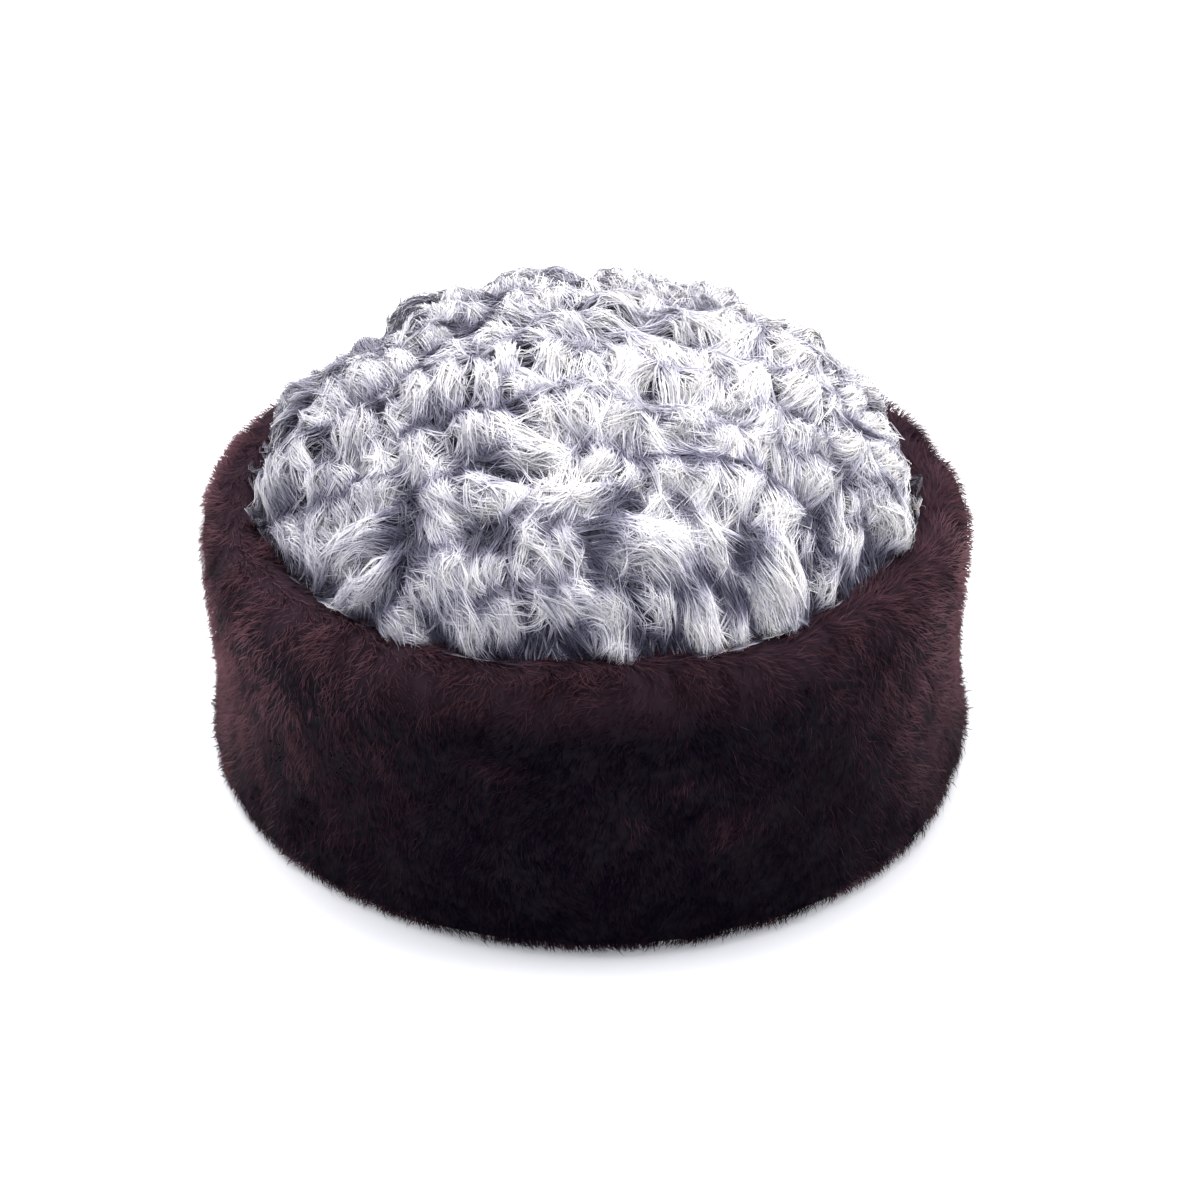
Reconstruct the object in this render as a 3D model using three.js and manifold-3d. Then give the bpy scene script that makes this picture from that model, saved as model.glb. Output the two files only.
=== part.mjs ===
import * as THREE from "three";
import { mergeVertices } from "three/addons/utils/BufferGeometryUtils.js";
import Module from "manifold-3d";

// A round fur hat: a domed crown of curly lamb pelt that sits in a tall cuff of short dark fur.
// Millimetres. +Z is up, the floor is Z = 0, +X is the wearer's left and the forehead is at -Y.

const wasm = await Module();
wasm.setup();

// Sizes of the cuff
const WIDTH = 230;
const LENGTH = 234.6;
const BAND_HEIGHT = 82;
const BAND_THICKNESS = 21;
const TOP_ROUND = 12;
const LIP_ROUND = 6;
const FOOT_ROUND = 7;
const HEM_ROUND = 3;
const BAND_SIDES = 52;

// Sizes of the crown. The pelt's skin is a dome that stands on a short skirt inside the cuff.
const SKIN_THICKNESS = 2.5;
const WOOL_DEPTH = 4.5;
const DOME_HEIGHT = 55;
const SKIRT_HEIGHT = 10;
const SKIRT_DEPTH = 22; // from the cuff's top edge down to the skirt's lower edge
const SEAM_GAP = 0.3;
const CURL_PLUMPNESS = 1.3;
const LOCK_LIFT = 0.3; // how far a lock's middle stands above the skin, as a share of its radius
const CROWN_SIDES = 32;
const DOME_STEPS = 8;

// Curls wider than this, as a share of the pelt's radius, get a sixth side, and those that turn by
// more than this many degrees get a second step.
const BROAD_CURL = 0.11;
const SHARP_BEND = 50;

const innerRadius = WIDTH / 2 - BAND_THICKNESS;
const skinRadius = innerRadius - SEAM_GAP;
const skirtZ = BAND_HEIGHT - SKIRT_DEPTH;
const domeZ = skirtZ + SKIRT_HEIGHT;
const oval = LENGTH / WIDTH;

const furs = {
  crown: new THREE.MeshStandardMaterial({ color: 0xb9b6c2, roughness: 0.9 }),
  band: new THREE.MeshStandardMaterial({ color: 0x2e2028, roughness: 0.95 }),
};

// A closed solid from a geometry: its seams are merged and its collapsed faces dropped.
function solid(geometry) {
  const bare = geometry.clone();
  bare.deleteAttribute("normal");
  bare.deleteAttribute("uv");
  const merged = mergeVertices(bare, 1e-3);
  const faces = [];
  const index = merged.index.array;
  for (let i = 0; i < index.length; i += 3) {
    const [a, b, c] = index.slice(i, i + 3);
    if (a !== b && b !== c && c !== a) faces.push(a, b, c);
  }
  return new wasm.Manifold(
    new wasm.Mesh({
      numProp: 3,
      vertProperties: merged.attributes.position.array,
      triVerts: new Uint32Array(faces),
    }),
  );
}

function namedMesh(name, made) {
  const mesh = made.getMesh();
  const geometry = new THREE.BufferGeometry();
  geometry.setAttribute("position", new THREE.BufferAttribute(mesh.vertProperties, 3));
  geometry.setIndex(new THREE.BufferAttribute(mesh.triVerts, 1));
  geometry.computeVertexNormals();
  const object = new THREE.Mesh(geometry, furs[name]);
  object.name = name;
  return object;
}

// A profile of [radius, height] points turned about the vertical axis and drawn out to the oval.
function turned(profile, sides) {
  const points = profile.map(([radius, height]) => new THREE.Vector2(radius, height));
  const geometry = new THREE.LatheGeometry(points, sides);
  geometry.rotateX(Math.PI / 2);
  geometry.scale(1, oval, 1);
  return geometry;
}

// Points on a round corner, from one angle to another in degrees.
function corner(radius, height, round, from, to, steps) {
  const arc = new THREE.EllipseCurve(
    radius, height, round, round,
    THREE.MathUtils.degToRad(from), THREE.MathUtils.degToRad(to), to < from,
  );
  return arc.getPoints(steps).map((p) => [p.x, p.y]);
}

// Dents in the outside of the cuff: where each lies, in degrees round from the wearer's left and as
// a share of the height, how far it spreads both ways, and its depth as a share of the thickness.
const DENTS = [
  { round: 205, up: 0.2, wide: 76, tall: 0.6, depth: 0.22 },
  { round: -4, up: 0.52, wide: 14, tall: 0.38, depth: 0.15 },
  { round: -18, up: 0.2, wide: 16, tall: 0.45, depth: 0.07 },
  { round: 32, up: 0.95, wide: 11, tall: 0.32, depth: 0.15 },
  { round: 17, up: 0.98, wide: 9, tall: 0.3, depth: 0.13 },
  { round: 262, up: 0.1, wide: 48, tall: 0.4, depth: 0.1 },
  { round: 318, up: 0.85, wide: 35, tall: 0.45, depth: 0.08 },
  { round: 100, up: 0.3, wide: 56, tall: 0.5, depth: 0.1 },
];

function dentShare(degrees, up) {
  let share = 0;
  for (const dent of DENTS) {
    const turn = THREE.MathUtils.euclideanModulo(degrees - dent.round + 180, 360) - 180;
    const away = (turn / dent.wide) ** 2 + ((up - dent.up) / dent.tall) ** 2;
    share += dent.depth * Math.max(0, 1 - away) ** 2;
  }
  return share;
}

// The cuff: a thick loop with a round top edge and a flat foot. A margin grows it on all sides.
function cuff(margin) {
  const top = BAND_HEIGHT + margin;
  const outer = WIDTH / 2 + margin;
  const inner = innerRadius - margin;
  const foot = -margin;
  const sideTop = top - TOP_ROUND;
  const profile = [
    [inner + HEM_ROUND, foot],
    ...corner(outer - FOOT_ROUND, foot + FOOT_ROUND, FOOT_ROUND, -90, 0, 4),
    ...[0.33, 0.67].map((share) => [outer, THREE.MathUtils.lerp(FOOT_ROUND, sideTop, share)]),
    ...corner(outer - TOP_ROUND, sideTop, TOP_ROUND, 0, 90, 4),
    ...corner(inner + LIP_ROUND, top - LIP_ROUND, LIP_ROUND, 90, 180, 3),
    ...corner(inner + HEM_ROUND, foot + HEM_ROUND, HEM_ROUND, 180, 270, 2),
  ];
  const geometry = turned(profile, BAND_SIDES);
  const place = geometry.attributes.position;
  for (let i = 0; i < place.count; i++) {
    const radius = Math.hypot(place.getX(i), place.getY(i) / oval);
    const outside = THREE.MathUtils.smoothstep(radius, innerRadius + LIP_ROUND, WIDTH / 2);
    const degrees = THREE.MathUtils.radToDeg(Math.atan2(place.getY(i), place.getX(i)));
    const depth = dentShare(degrees, place.getZ(i) / BAND_HEIGHT) * BAND_THICKNESS * outside;
    const shrink = 1 - depth / radius;
    place.setXY(i, place.getX(i) * shrink, place.getY(i) * shrink);
  }
  return solid(geometry);
}

// The pelt laid out flat is a disc, with its middle at the top of the dome and the dome's foot at a
// distance of 1. This bends a point of it, some way above the skin, onto the dome.
const meridian = new THREE.EllipseCurve(0, 0, skinRadius, DOME_HEIGHT, Math.PI / 2, 0, true);
const peltRadius = meridian.getLength();

function ontoDome(right, back, above) {
  const out = Math.hypot(right, back);
  const turn = Math.atan2(back, right);
  const foot = meridian.getPointAt(Math.min(out, 1));
  const normal = new THREE.Vector2(foot.x / skinRadius ** 2, foot.y / DOME_HEIGHT ** 2).normalize();
  const radius = foot.x + normal.x * above;
  const height = domeZ + foot.y + normal.y * above - Math.max(out - 1, 0) * peltRadius;
  return [radius * Math.cos(turn), radius * Math.sin(turn) * oval, height];
}

// The curls of the crown, seen from above with the forehead down. right and back place the middle of
// a curl and length and width size it, all as shares of the pelt's radius. heading is the way it runs
// in degrees, anticlockwise from the right, bend how far it turns on its way, and tip its width at
// the far end as a share of its width.
const CURLS = [
  { right: -0.33, back: 0.5, heading: 0, length: 0.2, bend: -50, width: 0.11, tip: 1 },
  { right: -0.43, back: 0.43, heading: 30, length: 0.13, bend: -40, width: 0.09, tip: 1 },
  { right: -0.17, back: 0.52, heading: 5, length: 0.17, bend: -50, width: 0.1, tip: 1 },
  { right: -0.04, back: 0.47, heading: 5, length: 0.18, bend: -20, width: 0.08, tip: 1 },
  { right: 0.09, back: 0.46, heading: -5, length: 0.18, bend: -30, width: 0.1, tip: 0.8 },
  { right: 0.24, back: 0.42, heading: -15, length: 0.22, bend: -20, width: 0.1, tip: 0.7 },
  { right: 0.42, back: 0.42, heading: -20, length: 0.17, bend: -40, width: 0.08, tip: 0.8 },
  { right: 0.12, back: 0.6, heading: 0, length: 0.24, bend: -30, width: 0.12, tip: 1 },
  { right: 0.32, back: 0.56, heading: -20, length: 0.24, bend: -30, width: 0.12, tip: 1 },
  { right: 0.56, back: 0.42, heading: -35, length: 0.2, bend: -30, width: 0.11, tip: 1 },
  { right: 0.72, back: 0.24, heading: -55, length: 0.2, bend: -30, width: 0.11, tip: 1 },
  { right: -0.57, back: 0.34, heading: 100, length: 0.16, bend: -20, width: 0.09, tip: 0.5 },
  { right: -0.67, back: 0.25, heading: 165, length: 0.18, bend: 20, width: 0.08, tip: 0.5 },
  { right: -0.1, back: 0.3, heading: 0, length: 0.25, bend: -45, width: 0.1, tip: 0.9 },
  { right: -0.35, back: 0.3, heading: 5, length: 0.22, bend: -30, width: 0.1, tip: 1 },
  { right: -0.17, back: 0.19, heading: 40, length: 0.16, bend: -30, width: 0.1, tip: 1 },
  { right: -0.07, back: 0.1, heading: 35, length: 0.2, bend: -80, width: 0.09, tip: 1 },
  { right: 0.06, back: 0.19, heading: 65, length: 0.24, bend: -10, width: 0.11, tip: 1 },
  { right: 0.16, back: 0.26, heading: -5, length: 0.16, bend: -80, width: 0.08, tip: 1 },
  { right: 0.27, back: 0.15, heading: -5, length: 0.2, bend: -40, width: 0.11, tip: 0.7 },
  { right: 0.5, back: 0.25, heading: -10, length: 0.28, bend: -20, width: 0.08, tip: 0.9 },
  { right: 0.47, back: 0.11, heading: -5, length: 0.3, bend: -25, width: 0.13, tip: 1 },
  { right: 0.65, back: 0.12, heading: -30, length: 0.16, bend: -30, width: 0.08, tip: 1 },
  { right: -0.42, back: 0.17, heading: 10, length: 0.2, bend: -30, width: 0.09, tip: 1 },
  { right: -0.58, back: 0.14, heading: 25, length: 0.18, bend: -20, width: 0.08, tip: 1 },
  { right: -0.75, back: 0.1, heading: 235, length: 0.2, bend: 20, width: 0.1, tip: 1 },
  { right: -0.56, back: 0.02, heading: 20, length: 0.34, bend: -15, width: 0.12, tip: 1 },
  { right: -0.34, back: 0.02, heading: 60, length: 0.2, bend: -130, width: 0.08, tip: 1 },
  { right: -0.13, back: -0.04, heading: 0, length: 0.26, bend: -20, width: 0.11, tip: 1 },
  { right: 0.17, back: 0.01, heading: -25, length: 0.22, bend: -60, width: 0.09, tip: 0.8 },
  { right: 0.09, back: -0.08, heading: -15, length: 0.24, bend: -90, width: 0.1, tip: 1 },
  { right: 0.31, back: -0.02, heading: -10, length: 0.18, bend: -50, width: 0.09, tip: 0.9 },
  { right: 0.27, back: -0.14, heading: -25, length: 0.24, bend: -90, width: 0.1, tip: 1 },
  { right: 0.47, back: -0.06, heading: 12, length: 0.34, bend: -20, width: 0.13, tip: 1 },
  { right: 0.75, back: 0.04, heading: -30, length: 0.2, bend: -50, width: 0.09, tip: 1 },
  { right: -0.32, back: -0.11, heading: 10, length: 0.26, bend: -20, width: 0.13, tip: 1 },
  { right: -0.51, back: -0.18, heading: 10, length: 0.2, bend: -40, width: 0.13, tip: 1 },
  { right: -0.67, back: -0.07, heading: 35, length: 0.16, bend: -20, width: 0.1, tip: 1 },
  { right: -0.73, back: -0.16, heading: 0, length: 0.22, bend: -40, width: 0.13, tip: 1 },
  { right: -0.13, back: -0.16, heading: -40, length: 0.18, bend: -60, width: 0.09, tip: 0.7 },
  { right: 0.04, back: -0.16, heading: 0, length: 0.17, bend: -70, width: 0.08, tip: 1 },
  { right: -0.02, back: -0.27, heading: -10, length: 0.32, bend: -90, width: 0.14, tip: 1 },
  { right: 0.24, back: -0.26, heading: 10, length: 0.15, bend: -40, width: 0.08, tip: 1 },
  { right: 0.38, back: -0.3, heading: 10, length: 0.2, bend: -80, width: 0.11, tip: 1 },
  { right: 0.49, back: -0.21, heading: -10, length: 0.22, bend: -50, width: 0.11, tip: 1 },
  { right: 0.65, back: -0.15, heading: -45, length: 0.24, bend: -30, width: 0.1, tip: 1 },
  { right: 0.8, back: -0.1, heading: -45, length: 0.22, bend: -30, width: 0.1, tip: 0.8 },
  { right: -0.23, back: -0.29, heading: -25, length: 0.22, bend: -20, width: 0.1, tip: 0.9 },
  { right: -0.49, back: -0.29, heading: -80, length: 0.16, bend: 0, width: 0.09, tip: 0.6 },
  { right: -0.53, back: -0.39, heading: 0, length: 0.18, bend: -110, width: 0.09, tip: 1 },
  { right: -0.37, back: -0.33, heading: -75, length: 0.22, bend: 10, width: 0.1, tip: 0.6 },
  { right: -0.64, back: -0.27, heading: -25, length: 0.18, bend: -30, width: 0.09, tip: 0.8 },
  { right: -0.66, back: -0.42, heading: -105, length: 0.22, bend: 60, width: 0.09, tip: 0.7 },
  { right: -0.76, back: -0.36, heading: -70, length: 0.18, bend: 20, width: 0.08, tip: 0.5 },
  { right: -0.12, back: -0.38, heading: -10, length: 0.24, bend: 0, width: 0.1, tip: 0.5 },
  { right: -0.05, back: -0.45, heading: -125, length: 0.25, bend: 10, width: 0.08, tip: 0.7 },
  { right: 0.06, back: -0.43, heading: -30, length: 0.18, bend: -90, width: 0.09, tip: 1 },
  { right: 0.2, back: -0.43, heading: -10, length: 0.18, bend: -60, width: 0.08, tip: 1 },
  { right: 0.57, back: -0.33, heading: -15, length: 0.22, bend: -70, width: 0.11, tip: 1 },
  { right: 0.77, back: -0.28, heading: -40, length: 0.2, bend: -20, width: 0.13, tip: 0.8 },
  { right: -0.31, back: -0.46, heading: 5, length: 0.22, bend: -50, width: 0.09, tip: 1 },
  { right: -0.34, back: -0.55, heading: -65, length: 0.16, bend: 0, width: 0.09, tip: 0.4 },
  { right: -0.53, back: -0.51, heading: 180, length: 0.3, bend: -20, width: 0.1, tip: 0.8 },
  { right: -0.19, back: -0.5, heading: -10, length: 0.22, bend: -20, width: 0.09, tip: 0.7 },
  { right: 0.0, back: -0.51, heading: 190, length: 0.28, bend: 20, width: 0.09, tip: 0.7 },
  { right: 0.39, back: -0.46, heading: -20, length: 0.34, bend: -70, width: 0.14, tip: 1 },
  { right: 0.3, back: -0.57, heading: -50, length: 0.24, bend: 0, width: 0.08, tip: 0.6 },
  { right: 0.66, back: -0.43, heading: -95, length: 0.16, bend: 30, width: 0.09, tip: 0.6 },
  { right: -0.5, back: -0.61, heading: 185, length: 0.26, bend: -10, width: 0.09, tip: 0.8 },
  { right: -0.34, back: -0.66, heading: -30, length: 0.22, bend: -60, width: 0.12, tip: 1 },
  { right: -0.12, back: -0.61, heading: -55, length: 0.22, bend: 0, width: 0.08, tip: 0.5 },
  { right: -0.03, back: -0.63, heading: -50, length: 0.18, bend: 0, width: 0.08, tip: 0.5 },
  { right: 0.14, back: -0.63, heading: -5, length: 0.3, bend: -20, width: 0.13, tip: 0.9 },
  { right: 0.46, back: -0.62, heading: -55, length: 0.28, bend: -20, width: 0.15, tip: 0.8 },
  { right: -0.2, back: -0.66, heading: -20, length: 0.18, bend: -60, width: 0.08, tip: 0.8 },
  { right: 0.61, back: -0.56, heading: -80, length: 0.16, bend: -10, width: 0.08, tip: 0.6 },
  { right: -0.28, back: -0.77, heading: -60, length: 0.22, bend: 10, width: 0.11, tip: 0.6 },
  { right: -0.46, back: -0.74, heading: -60, length: 0.18, bend: 0, width: 0.1, tip: 0.6 },
  { right: -0.16, back: -0.76, heading: 5, length: 0.22, bend: -70, width: 0.11, tip: 0.9 },
  { right: -0.02, back: -0.75, heading: -10, length: 0.18, bend: -20, width: 0.1, tip: 0.6 },
  { right: 0.13, back: -0.75, heading: -10, length: 0.24, bend: -30, width: 0.11, tip: 0.8 },
  { right: 0.05, back: -0.84, heading: -25, length: 0.2, bend: -10, width: 0.08, tip: 0.6 },
  { right: 0.29, back: -0.76, heading: -60, length: 0.22, bend: 0, width: 0.1, tip: 0.6 },
  { right: 0.38, back: -0.76, heading: -75, length: 0.14, bend: 0, width: 0.08, tip: 0.6 },
];

// Out of sight at the back and along both sides of it, the curls of the front come again, turned
// half round about the top.
const REPEAT_BACK = -0.55;
const REPEAT_SIDE_BACK = -0.2;
const REPEAT_SIDE = 0.6;

function allCurls() {
  const repeated = CURLS.filter(
    (curl) =>
      curl.back < REPEAT_BACK ||
      (curl.back < REPEAT_SIDE_BACK && Math.abs(curl.right) > REPEAT_SIDE),
  );
  const behind = repeated.map((curl) => ({
    ...curl,
    right: -curl.right,
    back: -curl.back,
    heading: curl.heading + 180,
  }));
  return [...CURLS, ...behind];
}

// One curl: a round-ended rod laid along a bent line on the flat pelt, then taken onto the dome.
function lock(curl) {
  const radius = (curl.width / 2) * CURL_PLUMPNESS * peltRadius;
  const length = curl.length * peltRadius;
  const steps = Math.abs(curl.bend) > SHARP_BEND ? 2 : 1;
  const sides = curl.width > BROAD_CURL ? 6 : 5;
  const straight = Math.max(length - 2 * radius, 1);
  const rod = new THREE.CapsuleGeometry(radius, straight, 2, sides, steps);
  const heading = THREE.MathUtils.degToRad(curl.heading);
  const bend = THREE.MathUtils.degToRad(curl.bend);
  const place = rod.attributes.position;
  for (let i = 0; i < place.count; i++) {
    const along = place.getY(i) / length;
    const slim = THREE.MathUtils.lerp(1, curl.tip, along + 0.5);
    const side = (place.getX(i) / peltRadius) * slim;
    const above = (place.getZ(i) + LOCK_LIFT * radius) * slim;
    const turn = heading + bend * along;
    const sway = heading + (bend * along) / 2;
    const reach = along * curl.length;
    const right = curl.right + reach * Math.cos(sway) + side * Math.sin(turn);
    const back = curl.back + reach * Math.sin(sway) - side * Math.cos(turn);
    place.setXYZ(i, ...ontoDome(right, back, above));
  }
  return solid(rod);
}

// A dome on its skirt, from the top out and down, as [radius, height] points.
function domeProfile(inset) {
  const radius = skinRadius - inset;
  const height = DOME_HEIGHT - inset;
  const arc = new THREE.EllipseCurve(0, domeZ, radius, height, Math.PI / 2, 0, true);
  return arc.getPoints(DOME_STEPS).map((p) => [p.x, p.y]);
}

function crown() {
  const woolRadius = skinRadius + WOOL_DEPTH;
  const outside = [...domeProfile(-WOOL_DEPTH), [woolRadius, skirtZ], [0, skirtZ]];
  const inside = [
    ...domeProfile(SKIN_THICKNESS),
    [skinRadius - SKIN_THICKNESS, skirtZ - SKIRT_HEIGHT],
    [0, skirtZ - SKIRT_HEIGHT],
  ];
  const skin = solid(turned(outside.reverse(), CROWN_SIDES));
  const hollow = solid(turned(inside.reverse(), CROWN_SIDES));
  const below = solid(
    turned([[0, -WIDTH], [WIDTH, -WIDTH], [WIDTH, skirtZ], [0, skirtZ]], CROWN_SIDES),
  );
  const furry = allCurls().reduce((made, curl) => made.add(lock(curl)), skin);
  return furry.subtract(hollow).subtract(below).subtract(cuff(SEAM_GAP));
}

const hat = new THREE.Group();
hat.add(namedMesh("crown", crown()));
hat.add(namedMesh("band", cuff(0)));

export default hat;
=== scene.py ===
# A round fur hat on a white floor: a domed crown of curly pale lamb pelt, which sits in a tall
# cuff of short dark fur. Metres, +Z up, the forehead towards -Y, the wearer's left towards +X.
import math

import bmesh
import bpy
import numpy as np
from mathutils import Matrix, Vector


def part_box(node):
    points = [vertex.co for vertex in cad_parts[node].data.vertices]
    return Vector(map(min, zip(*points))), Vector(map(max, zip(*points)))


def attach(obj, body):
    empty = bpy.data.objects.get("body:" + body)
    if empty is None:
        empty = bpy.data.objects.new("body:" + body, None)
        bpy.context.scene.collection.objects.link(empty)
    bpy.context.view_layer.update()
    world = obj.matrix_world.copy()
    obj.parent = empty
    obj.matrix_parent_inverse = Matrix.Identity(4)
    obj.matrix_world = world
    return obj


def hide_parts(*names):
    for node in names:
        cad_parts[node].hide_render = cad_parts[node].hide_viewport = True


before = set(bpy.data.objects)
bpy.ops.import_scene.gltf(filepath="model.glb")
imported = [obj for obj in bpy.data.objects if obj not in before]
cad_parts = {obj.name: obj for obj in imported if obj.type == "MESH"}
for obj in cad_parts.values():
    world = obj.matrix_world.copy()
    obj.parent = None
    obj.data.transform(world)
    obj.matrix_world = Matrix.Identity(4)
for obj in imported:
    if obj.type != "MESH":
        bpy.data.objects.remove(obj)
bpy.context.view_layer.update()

# The camera looks along +Y from the forehead's side, a third of the way up, through a long lens.
CAMERA_AIM = Vector((0.0046, 0.0, 0.0433))
CAMERA_ELEVATION = math.radians(33.0)
CAMERA_DISTANCE = 1.1
camera_data = bpy.data.cameras.new("camera")
camera_data.sensor_width = 36.0
camera_data.lens = 110.7
camera_data.clip_end = 20.0
camera = bpy.data.objects.new("camera", camera_data)
bpy.context.scene.collection.objects.link(camera)
camera_back = Vector((0.0, -math.cos(CAMERA_ELEVATION), math.sin(CAMERA_ELEVATION)))
camera.location = CAMERA_AIM + camera_back * CAMERA_DISTANCE
camera.rotation_euler = (-camera_back).to_track_quat("-Z", "Y").to_euler()
bpy.context.scene.camera = camera

# The floor is a wide white sheet, and the sky round it is a pale, slightly cool white.
FLOOR_SIZE = 6.0
floor_mesh = bpy.data.meshes.new("floor")
sheet = bmesh.new()
bmesh.ops.create_grid(sheet, x_segments=1, y_segments=1, size=FLOOR_SIZE / 2)
sheet.to_mesh(floor_mesh)
sheet.free()
floor = bpy.data.objects.new("floor", floor_mesh)
bpy.context.scene.collection.objects.link(floor)
floor_paint = bpy.data.materials.new("floor_white")
floor_paint.use_nodes = True
floor_shader = floor_paint.node_tree.nodes["Principled BSDF"]
floor_shader.inputs["Base Color"].default_value = (0.93, 0.93, 0.945, 1.0)
floor_shader.inputs["Roughness"].default_value = 0.9
floor_shader.inputs["Specular IOR Level"].default_value = 0.1
floor_shader.inputs["Emission Color"].default_value = (0.95, 0.96, 1.0, 1.0)
floor_shader.inputs["Emission Strength"].default_value = 0.2
floor_mesh.materials.append(floor_paint)

sky = bpy.data.worlds.new("studio_sky")
sky.use_nodes = True
sky.node_tree.nodes["Background"].inputs["Color"].default_value = (0.88, 0.91, 1.0, 1.0)
sky.node_tree.nodes["Background"].inputs["Strength"].default_value = 0.6
bpy.context.scene.world = sky
bpy.context.scene.view_settings.view_transform = "Standard"

# Three soft boxes: one overhead and a little behind, and one at each side. The front gets no light
# of its own, so the cuff's front face stays near black as in a product photograph.
LIGHTS = [
    # name, place, size, power, colour
    ("top_light", (-0.05, 0.3, 1.1), 1.0, 23.0, (1.0, 0.985, 0.97)),
    ("left_light", (-1.1, 0.15, 0.5), 0.7, 5.5, (1.0, 0.985, 0.98)),
    ("right_light", (1.1, 0.1, 0.5), 0.7, 5.0, (1.0, 0.985, 0.98)),
]
LIGHTS_AIM = Vector((0.0, 0.0, 0.06))
for name, place, size, power, colour in LIGHTS:
    light_data = bpy.data.lights.new(name, "AREA")
    light_data.size = size
    light_data.energy = power
    light_data.color = colour
    light = bpy.data.objects.new(name, light_data)
    light.location = place
    shining = LIGHTS_AIM - light.location
    light.rotation_euler = shining.to_track_quat("-Z", "Y").to_euler()
    bpy.context.scene.collection.objects.link(light)

# The pelt's form, a skin sewn to a dome. Laid out flat it is a disc, with its middle at the top of
# the dome and the dome's foot at a distance of 1. onto_dome bends its points onto the dome.
band_low, band_high = (Vector(corner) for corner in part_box("band"))
WIDTH = band_high.x - band_low.x
OVAL = (band_high.y - band_low.y) / WIDTH
BAND_HEIGHT = band_high.z
BAND_THICKNESS = 0.021
SEAM_GAP = 0.0003
SKIN_THICKNESS = 0.0025
DOME_HEIGHT = 0.055
SKIRT_HEIGHT = 0.010
SKIRT_DEPTH = 0.022
ARC_STEPS = 400
inner_radius = WIDTH / 2 - BAND_THICKNESS
skin_radius = inner_radius - SEAM_GAP
skirt_z = BAND_HEIGHT - SKIRT_DEPTH
dome_z = skirt_z + SKIRT_HEIGHT
steep = np.linspace(0.0, math.pi / 2, ARC_STEPS)
arc = np.concatenate([[0.0], np.cumsum(np.hypot(
    np.diff(skin_radius * np.sin(steep)), np.diff(DOME_HEIGHT * np.cos(steep))))])
pelt_radius = arc[-1]


def onto_dome(right, back, above):
    """Points some way above the skin, and the directions straight up from it there."""
    out = np.hypot(right, back)
    turn = np.arctan2(back, right)
    slope = np.interp(out, arc / pelt_radius, steep)
    radial, upright = np.sin(slope) / skin_radius, np.cos(slope) / DOME_HEIGHT
    size = np.hypot(radial, upright)
    radial, upright = radial / size, upright / size
    radius = skin_radius * np.sin(slope) + radial * above
    height = dome_z + DOME_HEIGHT * np.cos(slope) + upright * above
    height = height - np.maximum(out - 1.0, 0.0) * pelt_radius
    places = np.stack([radius * np.cos(turn), radius * np.sin(turn) * OVAL, height], -1)
    ups = np.stack([radial * np.cos(turn), radial * np.sin(turn), upright], -1)
    return places, ups


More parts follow.
